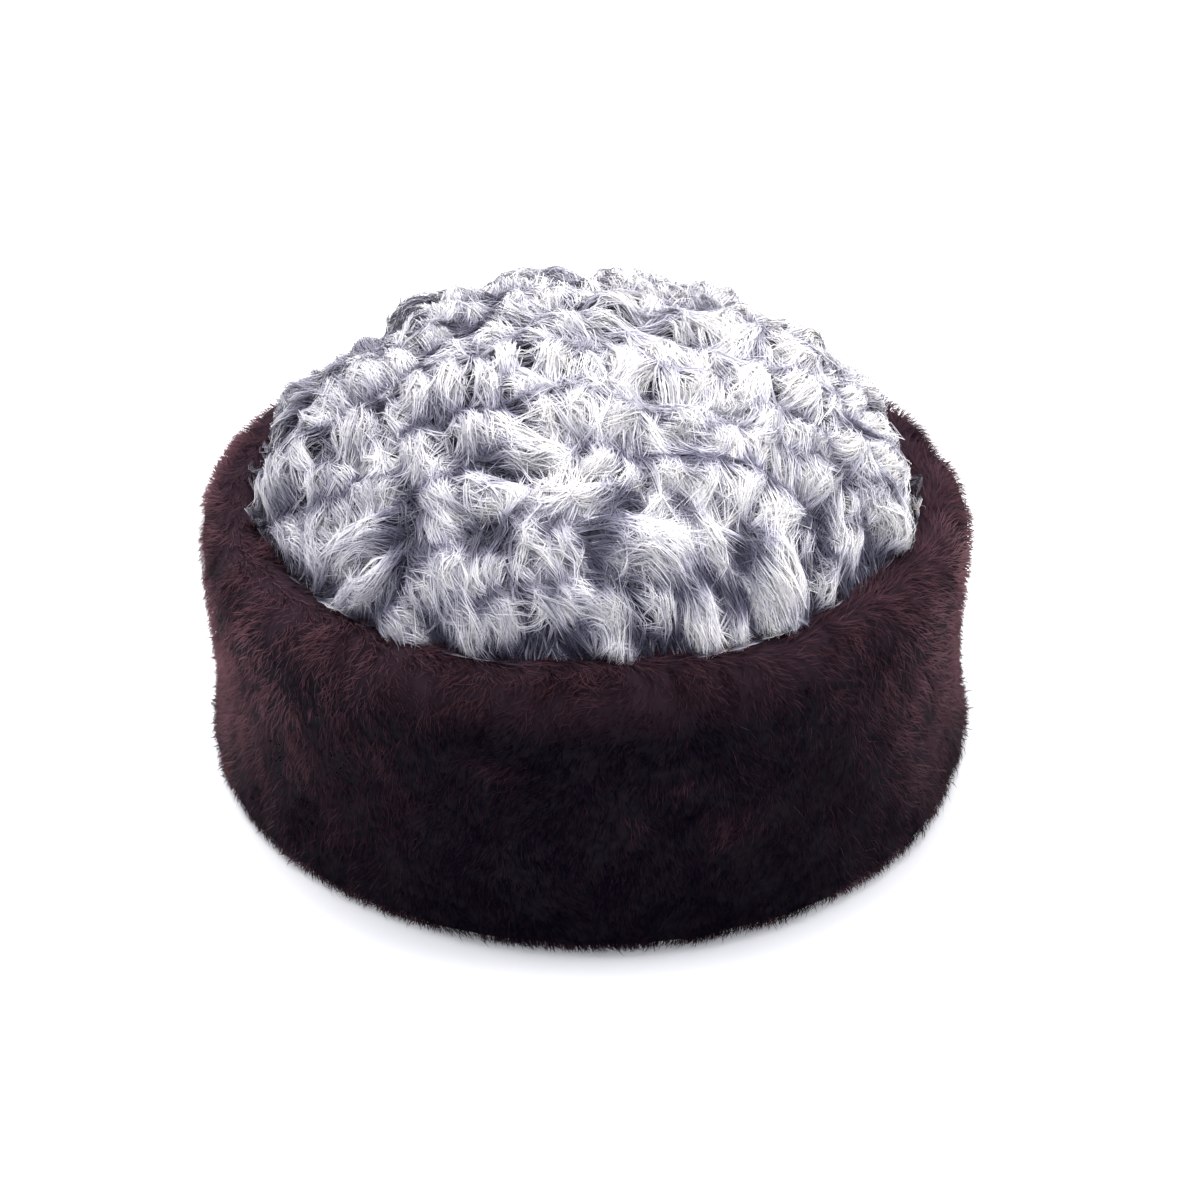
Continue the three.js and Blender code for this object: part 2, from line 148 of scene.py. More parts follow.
# The curls, which the lamb's wool grows in, seen from above with the forehead down. They were read
# off the photograph. Places and sizes are shares of the pelt's radius, and angles are degrees, for
# heading anticlockwise from the right.
CURL_COLUMNS = (
    "right", "back",  # its middle
    "heading", "length",  # the way that it runs there, and how far it runs
    "bend",  # how far it turns on its way
    "width", "tip",  # tip is the width at its far end, as a share of its width
    "hair",  # how its hair lies to it, -90 across it to its right-hand side and 0 along it
    "pale",  # how white it is
)
CURLS = [
    (-0.33, 0.5, 0, 0.2, -50, 0.11, 1, -80, 0.6),
    (-0.43, 0.43, 30, 0.13, -40, 0.09, 1, -100, 0.7),
    (-0.17, 0.52, 5, 0.17, -50, 0.1, 1, -90, 0.7),
    (-0.04, 0.47, 5, 0.18, -20, 0.08, 1, -80, 0.8),
    (0.09, 0.46, -5, 0.18, -30, 0.1, 0.8, -60, 0.8),
    (0.24, 0.42, -15, 0.22, -20, 0.1, 0.7, -40, 0.3),
    (0.42, 0.42, -20, 0.17, -40, 0.08, 0.8, -60, 0.6),
    (0.12, 0.6, 0, 0.24, -30, 0.12, 1, -90, 0.7),
    (0.32, 0.56, -20, 0.24, -30, 0.12, 1, -90, 0.9),
    (0.56, 0.42, -35, 0.2, -30, 0.11, 1, -90, 0.8),
    (0.72, 0.24, -55, 0.2, -30, 0.11, 1, -90, 0.8),
    (-0.57, 0.34, 100, 0.16, -20, 0.09, 0.5, 0, 0.5),
    (-0.67, 0.25, 165, 0.18, 20, 0.08, 0.5, 0, 0.4),
    (-0.1, 0.3, 0, 0.25, -45, 0.1, 0.9, -55, 0.8),
    (-0.35, 0.3, 5, 0.22, -30, 0.1, 1, -90, 0.9),
    (-0.17, 0.19, 40, 0.16, -30, 0.1, 1, -80, 0.3),
    (-0.24, 0.1, 60, 0.14, -130, 0.07, 1, -70, 0.6),
    (-0.07, 0.1, 35, 0.2, -80, 0.09, 1, -80, 0.8),
    (0.06, 0.19, 65, 0.24, -10, 0.11, 1, -85, 0.7),
    (0.16, 0.26, -5, 0.16, -80, 0.08, 1, -80, 0.6),
    (0.27, 0.15, -5, 0.2, -40, 0.11, 0.7, -30, 1),
    (0.35, 0.29, 0, 0.14, -40, 0.07, 1, -70, 0.7),
    (0.5, 0.25, -10, 0.28, -20, 0.08, 0.9, -80, 0.9),
    (0.47, 0.11, -5, 0.3, -25, 0.13, 1, -95, 0.9),
    (0.65, 0.12, -30, 0.16, -30, 0.08, 1, -90, 0.5),
    (-0.42, 0.17, 10, 0.2, -30, 0.09, 1, -100, 0.7),
    (-0.58, 0.14, 25, 0.18, -20, 0.08, 1, -90, 0.5),
    (-0.75, 0.1, 235, 0.2, 20, 0.1, 1, -80, 0.3),
    (-0.56, 0.02, 20, 0.34, -15, 0.12, 1, -85, 1),
    (-0.34, 0.02, 60, 0.2, -130, 0.08, 1, -80, 0.7),
    (-0.13, -0.04, 0, 0.26, -20, 0.11, 1, -110, 1),
    (0.17, 0.01, -25, 0.22, -60, 0.09, 0.8, -30, 1),
    (0.09, -0.08, -15, 0.24, -90, 0.1, 1, -90, 0.7),
    (0.31, -0.02, -10, 0.18, -50, 0.09, 0.9, -60, 0.9),
    (0.27, -0.14, -25, 0.24, -90, 0.1, 1, -60, 0.6),
    (0.47, -0.06, 12, 0.34, -20, 0.13, 1, -95, 1),
    (0.75, 0.04, -30, 0.2, -50, 0.09, 1, -80, 0.9),
    (-0.46, -0.1, -50, 0.12, 0, 0.07, 0.4, 0, 0.9),
    (-0.32, -0.11, 10, 0.26, -20, 0.13, 1, -100, 0.9),
    (-0.51, -0.18, 10, 0.2, -40, 0.13, 1, -105, 0.8),
    (-0.67, -0.07, 35, 0.16, -20, 0.1, 1, -95, 0.6),
    (-0.73, -0.16, 0, 0.22, -40, 0.13, 1, -110, 0.8),
    (-0.87, -0.15, 195, 0.16, 20, 0.07, 0.4, 0, 0.6),
    (-0.13, -0.16, -40, 0.18, -60, 0.09, 0.7, -10, 0.8),
    (0.04, -0.16, 0, 0.17, -70, 0.08, 1, -60, 0.9),
    (-0.02, -0.27, -10, 0.32, -90, 0.14, 1, -65, 0.8),
    (0.14, -0.3, -60, 0.22, -20, 0.07, 0.4, 0, 0.5),
    (0.24, -0.26, 10, 0.15, -40, 0.08, 1, -60, 0.7),
    (0.28, -0.36, 90, 0.12, -170, 0.06, 1, -90, 0.6),
    (0.38, -0.3, 10, 0.2, -80, 0.11, 1, -90, 0.7),
    (0.49, -0.21, -10, 0.22, -50, 0.11, 1, -80, 0.5),
    (0.65, -0.15, -45, 0.24, -30, 0.1, 1, -60, 0.9),
    (0.8, -0.1, -45, 0.22, -30, 0.1, 0.8, -40, 0.9),
    (-0.23, -0.29, -25, 0.22, -20, 0.1, 0.9, -40, 0.5),
    (-0.49, -0.29, -80, 0.16, 0, 0.09, 0.6, 0, 0.9),
    (-0.53, -0.39, 0, 0.18, -110, 0.09, 1, -80, 0.6),
    (-0.37, -0.33, -75, 0.22, 10, 0.1, 0.6, -10, 0.6),
    (-0.64, -0.27, -25, 0.18, -30, 0.09, 0.8, -60, 0.6),
    (-0.66, -0.42, -105, 0.22, 60, 0.09, 0.7, 20, 0.6),
    (-0.76, -0.36, -70, 0.18, 20, 0.08, 0.5, 0, 0.4),
    (-0.12, -0.38, -10, 0.24, 0, 0.1, 0.5, 0, 1),
    (-0.05, -0.45, -125, 0.25, 10, 0.08, 0.7, 0, 0.8),
    (0.06, -0.43, -30, 0.18, -90, 0.09, 1, -70, 0.9),
    (0.2, -0.43, -10, 0.18, -60, 0.08, 1, -80, 0.5),
    (0.57, -0.33, -15, 0.22, -70, 0.11, 1, -75, 0.6),
    (0.77, -0.28, -40, 0.2, -20, 0.13, 0.8, -20, 0.8),
    (-0.31, -0.46, 5, 0.22, -50, 0.09, 1, -75, 0.7),
    (-0.34, -0.55, -65, 0.16, 0, 0.09, 0.4, 0, 0.9),
    (-0.53, -0.51, 180, 0.3, -20, 0.1, 0.8, 0, 0.5),
    (-0.19, -0.5, -10, 0.22, -20, 0.09, 0.7, -40, 0.9),
    (0, -0.51, 190, 0.28, 20, 0.09, 0.7, 5, 0.9),
    (0.02, -0.57, -15, 0.2, -10, 0.06, 0.4, 0, 0.8),
    (0.18, -0.55, 120, 0.15, -170, 0.06, 1, -60, 0.3),
    (0.39, -0.46, -20, 0.34, -70, 0.14, 1, -70, 1),
    (0.3, -0.57, -50, 0.24, 0, 0.08, 0.6, 0, 0.8),
    (0.66, -0.43, -95, 0.16, 30, 0.09, 0.6, 0, 0.9),
    (-0.5, -0.61, 185, 0.26, -10, 0.09, 0.8, 0, 0.6),
    (-0.63, -0.62, 200, 0.18, 40, 0.07, 0.4, 0, 0.7),
    (-0.34, -0.66, -30, 0.22, -60, 0.12, 1, -40, 0.8),
    (-0.12, -0.61, -55, 0.22, 0, 0.08, 0.5, 0, 0.9),
    (-0.03, -0.63, -50, 0.18, 0, 0.08, 0.5, 0, 0.9),
    (0.14, -0.63, -5, 0.3, -20, 0.13, 0.9, -15, 1),
    (0.46, -0.62, -55, 0.28, -20, 0.15, 0.8, 20, 0.9),
    (-0.2, -0.66, -20, 0.18, -60, 0.08, 0.8, -60, 0.6),
    (0.61, -0.56, -80, 0.16, -10, 0.08, 0.6, 0, 0.5),
    (-0.28, -0.77, -60, 0.22, 10, 0.11, 0.6, 0, 0.7),
    (-0.46, -0.74, -60, 0.18, 0, 0.1, 0.6, 0, 0.8),
    (-0.16, -0.76, 5, 0.22, -70, 0.11, 0.9, -75, 0.7),
    (-0.02, -0.75, -10, 0.18, -20, 0.1, 0.6, -20, 0.9),
    (0.13, -0.75, -10, 0.24, -30, 0.11, 0.8, -60, 0.6),
    (0.05, -0.84, -25, 0.2, -10, 0.08, 0.6, 0, 0.7),
    (0.29, -0.76, -60, 0.22, 0, 0.1, 0.6, 0, 0.8),
    (0.38, -0.76, -75, 0.14, 0, 0.08, 0.6, 0, 0.6),
]
REPEAT_BACK = -0.55
REPEAT_SIDE_BACK = -0.2
REPEAT_SIDE = 0.6
REPEAT_PALE = 0.7
CURL_PLUMPNESS = 1.3
CURL_TOP = 0.95  # height of a curl's crest above the skin, as a share of its plump half-width

table = np.array(CURLS, float)
front_back, front_right = table[:, 1], table[:, 0]
repeats = (front_back < REPEAT_BACK) | (
    (front_back < REPEAT_SIDE_BACK) & (np.abs(front_right) > REPEAT_SIDE))
behind = table[repeats].copy()
behind[:, 0:2] *= -1.0
behind[:, 2] += 180.0
table = np.vstack([table, behind])
curls = dict(zip(CURL_COLUMNS, table.T))
for column in ("heading", "bend", "hair"):
    curls[column] = np.radians(curls[column])
curls["half"] = curls["width"] / 2 * CURL_PLUMPNESS
curls["pale"][len(CURLS):] = REPEAT_PALE
FLAME_TIP = 0.75  # a curl that narrows to less than this ends in a free tip
CREST_OFF = 0.25  # how far off its middle a curl has its crest where its hair runs across it


def rounded_off(share, fullness, softness):
    """A height that falls from 1 to 0 as share goes from 0 to 1."""
    return np.clip(1.0 - share ** fullness, 0.0, 1.0) ** softness


def on_curl(which, along, across):
    """Pelt points and heights above the skin, for places along a curl from -0.5 to 0.5 and across
    it from -1 to 1, positive to its left."""
    curl = {column: values[which] for column, values in curls.items()}
    slim = 1.0 + (curl["tip"] - 1.0) * (along + 0.5)
    turn = curl["heading"] + curl["bend"] * along
    sway = curl["heading"] + curl["bend"] * along / 2
    reach = along * curl["length"]
    side = across * curl["half"] * slim
    right = curl["right"] + reach * np.cos(sway) - side * np.sin(turn)
    back = curl["back"] + reach * np.sin(sway) + side * np.cos(turn)
    crest = CREST_OFF * np.abs(np.sin(curl["hair"]))
    rising = np.clip((across - crest) / (1.0 - crest), 0.0, 1.0)
    falling = np.clip((crest - across) / (1.0 + crest), 0.0, 1.0)
    over = rounded_off(rising, fullness=2.0, softness=0.5)
    over = over * rounded_off(falling, fullness=2.4, softness=0.6)
    near = rounded_off(2.0 * np.clip(-along, 0.0, 0.5), fullness=2.6, softness=0.5)
    far = rounded_off(2.0 * np.clip(along, 0.0, 0.5), fullness=2.6, softness=0.5)
    far = np.where(curl["tip"] < FLAME_TIP, 0.5 + 0.5 * far, far)
    height = curl["half"] * pelt_radius * CURL_TOP * (0.4 + 0.6 * slim) * over * near * far
    return right, back, height


# Maps of the flat pelt: how high the curls stand at each place, which way their hair lies and how
# white it is, with painted light on the crests and painted shade in the hollows and between the
# locks. Each curl is parted into locks, which run the way of its hair.
MAP_CELLS = 480
MAP_REACH = 1.1
SAMPLES_ALONG = 110
SAMPLES_ACROSS = 60
LOCK_WIDTH = 0.012
LOCK_WIDTHS = (0.65, 1.35)
LOCK_SLANT = 0.2
LOCK_GATHER = 0.65
GAP_SIZE = 0.5
GAP_DEPTH = 0.35
GAP_SHADE = 0.6
curl_count = len(table)
which, along, across = np.meshgrid(
    np.arange(curl_count), np.linspace(-0.5, 0.5, SAMPLES_ALONG),
    np.linspace(-1.0, 1.0, SAMPLES_ACROSS), indexing="ij")
right, back, height = on_curl(which, along, across)
dice = np.random.default_rng(7)
locks_each = dice.uniform(*LOCK_WIDTHS, curl_count)
locks_each = curls["length"] * pelt_radius / LOCK_WIDTH * locks_each
slant_each = dice.normal(0, LOCK_SLANT, curl_count)
start_each = dice.random(curl_count)
locks_passed = along * locks_each[which] + slant_each[which] * across + start_each[which]
gap_phase = 2 * math.pi * locks_passed
gap = np.clip((np.cos(gap_phase) - (1.0 - GAP_SIZE)) / GAP_SIZE, 0.0, 1.0) ** 1.5
height = height * (1.0 - GAP_DEPTH * gap)
lie = curls["heading"][which] + curls["bend"][which] * along + curls["hair"][which]
lie = lie - LOCK_GATHER * np.sin(gap_phase) * np.sin(curls["hair"][which])


def in_cells(place):
    """A place on the flat pelt, right or back, as a number of map cells from the map's edge."""
    return (place / MAP_REACH + 1) / 2 * MAP_CELLS


columns = np.clip(in_cells(right).astype(int), 0, MAP_CELLS - 1)
rows = np.clip(in_cells(back).astype(int), 0, MAP_CELLS - 1)
cells = (rows * MAP_CELLS + columns).ravel()
order = np.argsort(height.ravel(), kind="stable")
height_map = np.zeros(MAP_CELLS * MAP_CELLS)
height_map[cells[order]] = height.ravel()[order]

# Where there is no curl the hair lies away from the top of the dome.
LIE_MIDDLE_BACK = 0.15
middles = ((np.arange(MAP_CELLS) + 0.5) / MAP_CELLS * 2 - 1) * MAP_REACH
lie_map = np.arctan2(middles[:, None] - LIE_MIDDLE_BACK, middles[None, :]).ravel()
lie_map[cells[order]] = lie.ravel()[order]

# How white the hair is on its way over a curl, from its root side at -1 to its tips' side at 1:
# partly the hair's own dark roots and pale tips, partly painted light on the crest and painted shade
# in the hollows.
WHITE_WAY = [-1.0, -0.7, -0.35, -0.05, 0.5, 0.85, 1.0]
WHITE_AND_SHADE = [0.0, 0.1, 0.6, 1.0, 0.95, 0.55, 0.2]
GROUND_WHITENESS = 0.1
BACK_WHITENESS = 0.5
white_and_shade_map = np.full(MAP_CELLS * MAP_CELLS, GROUND_WHITENESS)
way = 2 * along * np.cos(curls["hair"][which]) + across * np.sin(curls["hair"][which])
white = np.interp(way, WHITE_WAY, WHITE_AND_SHADE)
# Painted shade in the gaps between the locks.
white = white * (1.0 - GAP_SHADE * gap)
white = np.where(which < len(CURLS), white, np.maximum(white, BACK_WHITENESS))
white_and_shade_map[cells[order]] = white.ravel()[order]
white_and_shade_map = white_and_shade_map.reshape(MAP_CELLS, MAP_CELLS)
height_map = height_map.reshape(MAP_CELLS, MAP_CELLS)
lie_x = np.cos(lie_map).reshape(MAP_CELLS, MAP_CELLS)
lie_y = np.sin(lie_map).reshape(MAP_CELLS, MAP_CELLS)


def softened(field, times):
    """A map with each cell averaged with its neighbours, so many times."""
    for _ in range(times):
        field = (2 * field + np.roll(field, 1, 0) + np.roll(field, -1, 0)) / 4
        field = (2 * field + np.roll(field, 1, 1) + np.roll(field, -1, 1)) / 4
    return field


# The hair is paler on top, round a place a little to the right, and along the dome's back edge.
TOP_WHITENESS = 0.45
TOP_RIGHT, TOP_BACK = 0.15, 0.05
TOP_REACH = 0.5
EDGE_WHITENESS = 0.5
EDGE_FROM, EDGE_FADE = 0.45, 0.2
EDGE_BACK_FROM, EDGE_BACK_FADE = 0.05, 0.15
from_top = np.hypot(middles[None, :] - TOP_RIGHT, middles[:, None] - TOP_BACK)
on_top = np.clip(1.2 - (from_top / TOP_REACH) ** 2, 0.0, 1.0)
white_and_shade_map = np.maximum(white_and_shade_map, TOP_WHITENESS * on_top)
from_centre = np.hypot(middles[None, :], middles[:, None])
near_edge = np.clip((from_centre - EDGE_FROM) / EDGE_FADE, 0.0, 1.0)
near_edge = near_edge * np.clip((middles[:, None] - EDGE_BACK_FROM) / EDGE_BACK_FADE, 0.0, 1.0)
white_and_shade_map = np.maximum(white_and_shade_map, EDGE_WHITENESS * near_edge)

HEIGHT_SOFTENING = 3
WHITE_SOFTENING = 2
LIE_SOFTENING = 14
SLOPE_SOFTENING = 6
height_map = softened(height_map, HEIGHT_SOFTENING)
white_and_shade_map = softened(white_and_shade_map, WHITE_SOFTENING)
lie_x, lie_y = softened(lie_x, LIE_SOFTENING), softened(lie_y, LIE_SOFTENING)
cell = 2 * MAP_REACH / MAP_CELLS * pelt_radius
slope_back, slope_right = np.gradient(softened(height_map, SLOPE_SOFTENING), cell)


def read_map(field, right, back):
    """A map's values at places on the flat pelt."""
    column = np.clip(in_cells(right) - 0.5, 0, MAP_CELLS - 1.001)
    row = np.clip(in_cells(back) - 0.5, 0, MAP_CELLS - 1.001)
    c, r = column.astype(int), row.astype(int)
    fc, fr = column - c, row - r
    return ((field[r, c] * (1 - fc) + field[r, c + 1] * fc) * (1 - fr)
            + (field[r + 1, c] * (1 - fc) + field[r + 1, c + 1] * fc) * fr)


def lie_at(right, back):
    """The way that the hair lies."""
    return np.arctan2(read_map(lie_y, right, back), read_map(lie_x, right, back))


def curl_facing(right, back):
    """The directions straight out of the curls' rounded tops and sides."""
    _, ups = onto_dome(right, back, 0.0)
    turn = np.arctan2(back, right)
    radial, upright = np.hypot(ups[..., 0], ups[..., 1]), ups[..., 2]
    outwards = np.stack([upright * np.cos(turn), upright * np.sin(turn), -radial], -1)
    roundwards = np.stack([-np.sin(turn), np.cos(turn), np.zeros_like(turn)], -1)
    east, north = read_map(slope_right, right, back), read_map(slope_back, right, back)
    lean_out = (east * np.cos(turn) + north * np.sin(turn))[..., None]
    lean_round = (north * np.cos(turn) - east * np.sin(turn))[..., None]
    facing = ups - lean_out * outwards - lean_round * roundwards
    return facing / np.linalg.norm(facing, axis=-1, keepdims=True)


# The crown's pelt: the skin with its dense underwool, raised under each curl. Its inside, which no
# view of the photograph shows, is plain suede.
PELT_STEPS = 170
PELT_RINGS = 64
SKIN_RINGS = 14
WOOL_DEPTH = 0.0015
WOOL_UNDER_CURLS = 0.0028  # how far below the tops of the curls' hair the underwool ends
WOOL_FADE = 0.06
WELD = 1e-6
ON_DOME = 1e-3


def turned(name, outline, steps):
    """A mesh turned from a chain of points, and where its own points are."""
    form = bmesh.new()
    chain = [form.verts.new(place) for place in outline]
    edges = [form.edges.new(pair) for pair in zip(chain, chain[1:])]
    bmesh.ops.spin(form, geom=chain + edges, cent=(0, 0, 0), axis=(0, 0, 1), angle=2 * math.pi,
                   steps=steps, use_merge=True)
    bmesh.ops.remove_doubles(form, verts=form.verts, dist=WELD)
    bmesh.ops.recalc_face_normals(form, faces=form.faces)
    mesh = bpy.data.meshes.new(name)
    form.to_mesh(mesh)
    form.free()
    places = np.empty(len(mesh.vertices) * 3)
    mesh.vertices.foreach_get("co", places)
    return mesh, places.reshape(-1, 3)


def smooth_piece(mesh, places):
    """A turned mesh as a smooth piece, with its points moved."""
    mesh.vertices.foreach_set("co", places.ravel())
    mesh.polygons.foreach_set("use_smooth", np.ones(len(mesh.polygons), bool))
    mesh.update()
    made = bpy.data.objects.new(mesh.name, mesh)
    bpy.context.scene.collection.objects.link(made)
    return made


outs = np.linspace(0.0, 1.0 + SKIRT_HEIGHT / pelt_radius, PELT_RINGS)
profile, _ = onto_dome(outs, np.zeros(PELT_RINGS), 0.0)
inner_skin = skin_radius - SKIN_THICKNESS
inside = [(inner_skin, 0.0, skirt_z), (inner_skin, 0.0, dome_z)]
for slope in np.linspace(math.pi / 2, 0.0, SKIN_RINGS)[1:]:
    inside.append((inner_skin * math.sin(slope), 0.0,
                   dome_z + (DOME_HEIGHT - SKIN_THICKNESS) * math.cos(slope)))
pelt_mesh, places = turned(
    "crown_pelt", [tuple(place) for place in profile] + inside, PELT_STEPS)
radius_share = np.hypot(places[:, 0], places[:, 1]) / skin_radius
height_share = np.maximum(places[:, 2] - dome_z, 0) / DOME_HEIGHT
outside = np.abs(radius_share ** 2 + height_share ** 2 - 1) < ON_DOME
slope = np.arctan2(radius_share, height_share)
out = np.interp(slope, steep, arc / pelt_radius)
out = out + np.maximum(dome_z - places[:, 2], 0) / pelt_radius
turn = np.arctan2(places[:, 1], places[:, 0])
flat_right, flat_back = out * np.cos(turn), out * np.sin(turn)
wool = np.maximum(read_map(height_map, flat_right, flat_back) - WOOL_UNDER_CURLS, WOOL_DEPTH)
wool = wool * np.clip((1.0 - out) / WOOL_FADE, 0.0, 1.0)
raised, _ = onto_dome(flat_right, flat_back, wool)
places[:, 1] *= OVAL
places[outside] = raised[outside]
face_outside = outside[np.array([face.vertices[0] for face in pelt_mesh.polygons])]
pelt_mesh.polygons.foreach_set("material_index", np.where(face_outside, 0, 1).astype(np.int32))
crown_pelt = smooth_piece(pelt_mesh, places)

# Wool, suede and pile are all mottled: one shader group mixes two tones by a fine noise.
mottle = bpy.data.node_groups.new("mottle", "ShaderNodeTree")
mottle.interface.new_socket("Place", in_out="INPUT", socket_type="NodeSocketVector")
for socket in ("Scale", "Detail", "Low", "High"):
    mottle.interface.new_socket(socket, in_out="INPUT", socket_type="NodeSocketFloat")
for socket in ("Dark", "Pale"):
    mottle.interface.new_socket(socket, in_out="INPUT", socket_type="NodeSocketColor")
mottle.interface.new_socket("Colour", in_out="OUTPUT", socket_type="NodeSocketColor")
given = mottle.nodes.new("NodeGroupInput")
result = mottle.nodes.new("NodeGroupOutput")
noise = mottle.nodes.new("ShaderNodeTexNoise")
palest = mottle.nodes.new("ShaderNodeMapRange")
blend = mottle.nodes.new("ShaderNodeMix")
blend.data_type = "RGBA"
for source, target in (
    (given.outputs["Place"], noise.inputs["Vector"]),
    (given.outputs["Scale"], noise.inputs["Scale"]),
    (given.outputs["Detail"], noise.inputs["Detail"]),
    (noise.outputs["Fac"], palest.inputs["Value"]),
    (given.outputs["Low"], palest.inputs["From Min"]),
    (given.outputs["High"], palest.inputs["From Max"]),
    (palest.outputs["Result"], blend.inputs["Factor"]),
    (given.outputs["Dark"], blend.inputs["A"]),
    (given.outputs["Pale"], blend.inputs["B"]),
    (blend.outputs["Result"], result.inputs["Colour"]),
):
    mottle.links.new(source, target)


def mottled_material(name, mottling, roughness):
    """A matt material with the mottle group's values as given."""
    material = bpy.data.materials.new(name)
    material.use_nodes = True
    nodes, links = material.node_tree.nodes, material.node_tree.links
    spot = nodes.new("ShaderNodeTexCoord")
    tones = nodes.new("ShaderNodeGroup")
    tones.node_tree = mottle
    tones.name = "mottle"
    for socket, value in mottling.items():
        tones.inputs[socket].default_value = value
    links.new(spot.outputs["Object"], tones.inputs["Place"])
    links.new(tones.outputs["Colour"], nodes["Principled BSDF"].inputs["Base Color"])
    nodes["Principled BSDF"].inputs["Roughness"].default_value = roughness
    return material


# The underwool's near black is partly the wool's own dark grey and partly painted shade deep under
# the curls.
WOOL_AND_SHADE_MOTTLING = {"Scale": 900.0, "Detail": 4.0, "Low": 0.3, "High": 0.75,
                 "Dark": (0.018, 0.018, 0.032, 1.0), "Pale": (0.09, 0.09, 0.13, 1.0)}
SUEDE_MOTTLING = {"Scale": 160.0, "Detail": 6.0, "Low": 0.3, "High": 0.7,
                  "Dark": (0.30, 0.235, 0.18, 1.0), "Pale": (0.42, 0.345, 0.27, 1.0)}
underwool = mottled_material("underwool", WOOL_AND_SHADE_MOTTLING, roughness=0.9)
suede = mottled_material("suede_inside", SUEDE_MOTTLING, roughness=0.95)
pelt_mesh.materials.append(underwool)
pelt_mesh.materials.append(suede)
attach(crown_pelt, "root")
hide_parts("crown")


# The crown's hair: flat tapering strands in wisps, which follow the lie of the curls over their
# crests and bend round as they go, white on the crests and dark in the hollows, partly by the hair's
# own colour and partly by painted light and shade.
STRAND_ROOT = 0.55  # a strand's width at its root as a share of its full width
STRAND_SWELL = 2.2
STRAND_TAPER = 2.6
STRAND_TIP = 0.25
MAP_MARGIN = 0.02
MAP_STRAND = 0.012


def hair_mesh(name, paths, ups, half_widths, tones, root_tip_and_shade, facing):
    """One mesh of ribbons, each along a path of points and lying flat to ups, with a pointed end. Its
    OFBake map holds the strand's tone one way and, the other, its place on the ramps at each point:
    from root to tip, and on the crown's curls also from painted shade in the hollows to painted light
    on the crests. It takes its light as a part of the coat that faces the way of facing, not as a
    flat ribbon."""
    count, points = paths.shape[:2]
    ahead = np.gradient(paths, axis=1)
    sides = np.cross(ahead, ups)
    sides /= np.maximum(np.linalg.norm(sides, axis=2, keepdims=True), 1e-9)
    share = np.linspace(0.0, 1.0, points)
    taper = np.minimum(1.0, STRAND_ROOT + STRAND_SWELL * share)
    taper = taper * np.minimum(1.0, (1.0 - share) * STRAND_TAPER + STRAND_TIP)
    reach = sides * (half_widths[:, None] * taper[None, :])[:, :, None]
    per = 2 * points - 1
    corners = np.empty((count, per, 3))
    corners[:, 0:-1:2] = (paths - reach)[:, :-1]
    corners[:, 1:-1:2] = (paths + reach)[:, :-1]
    corners[:, -1] = paths[:, -1]
    first = np.arange(count)[:, None] * per
    quads = np.array([[left, left + 1, left + 3, left + 2] for left in range(0, 2 * points - 4, 2)])
    last = np.array([per - 3, per - 2, per - 1])
    loops = np.concatenate([(first[:, :, None] + quads[None]).reshape(count, -1),
                            first + last[None]], axis=1)
    sizes = np.concatenate([np.full(points - 2, 4), [3]])
    starts_one = np.concatenate([[0], np.cumsum(sizes)[:-1]])
    loops_one = int(sizes.sum())
    starts = (np.arange(count)[:, None] * loops_one + starts_one[None]).ravel()
    mesh = bpy.data.meshes.new(name)
    mesh.vertices.add(count * per)
    mesh.vertices.foreach_set("co", corners.ravel())
    mesh.loops.add(count * loops_one)
    mesh.loops.foreach_set("vertex_index", loops.ravel().astype(np.int32))
    mesh.polygons.add(count * (points - 1))
    mesh.polygons.foreach_set("loop_start", starts.astype(np.int32))
    mesh.polygons.foreach_set("use_smooth", np.ones(count * (points - 1), bool))
    across = np.concatenate([np.tile([-MAP_STRAND, MAP_STRAND], points - 1), [0.0]])
    corner_u = tones[:, None] + across[None]
    corner_v = MAP_MARGIN + (1.0 - 2 * MAP_MARGIN) * np.repeat(root_tip_and_shade, 2, axis=1)[:, :per]
    uv = np.stack([corner_u, corner_v], -1).reshape(-1, 2)
    layer = mesh.uv_layers.new(name="OFBake")
    layer.data.foreach_set("uv", uv[loops.ravel()].ravel())
    mesh.update(calc_edges=True)
    edge = np.repeat(facing, 2, axis=1)[:, :per]
    mesh.normals_split_custom_set_from_vertices(edge.reshape(-1, 3).tolist())
    made = bpy.data.objects.new(name, mesh)
    bpy.context.scene.collection.objects.link(made)
    return made


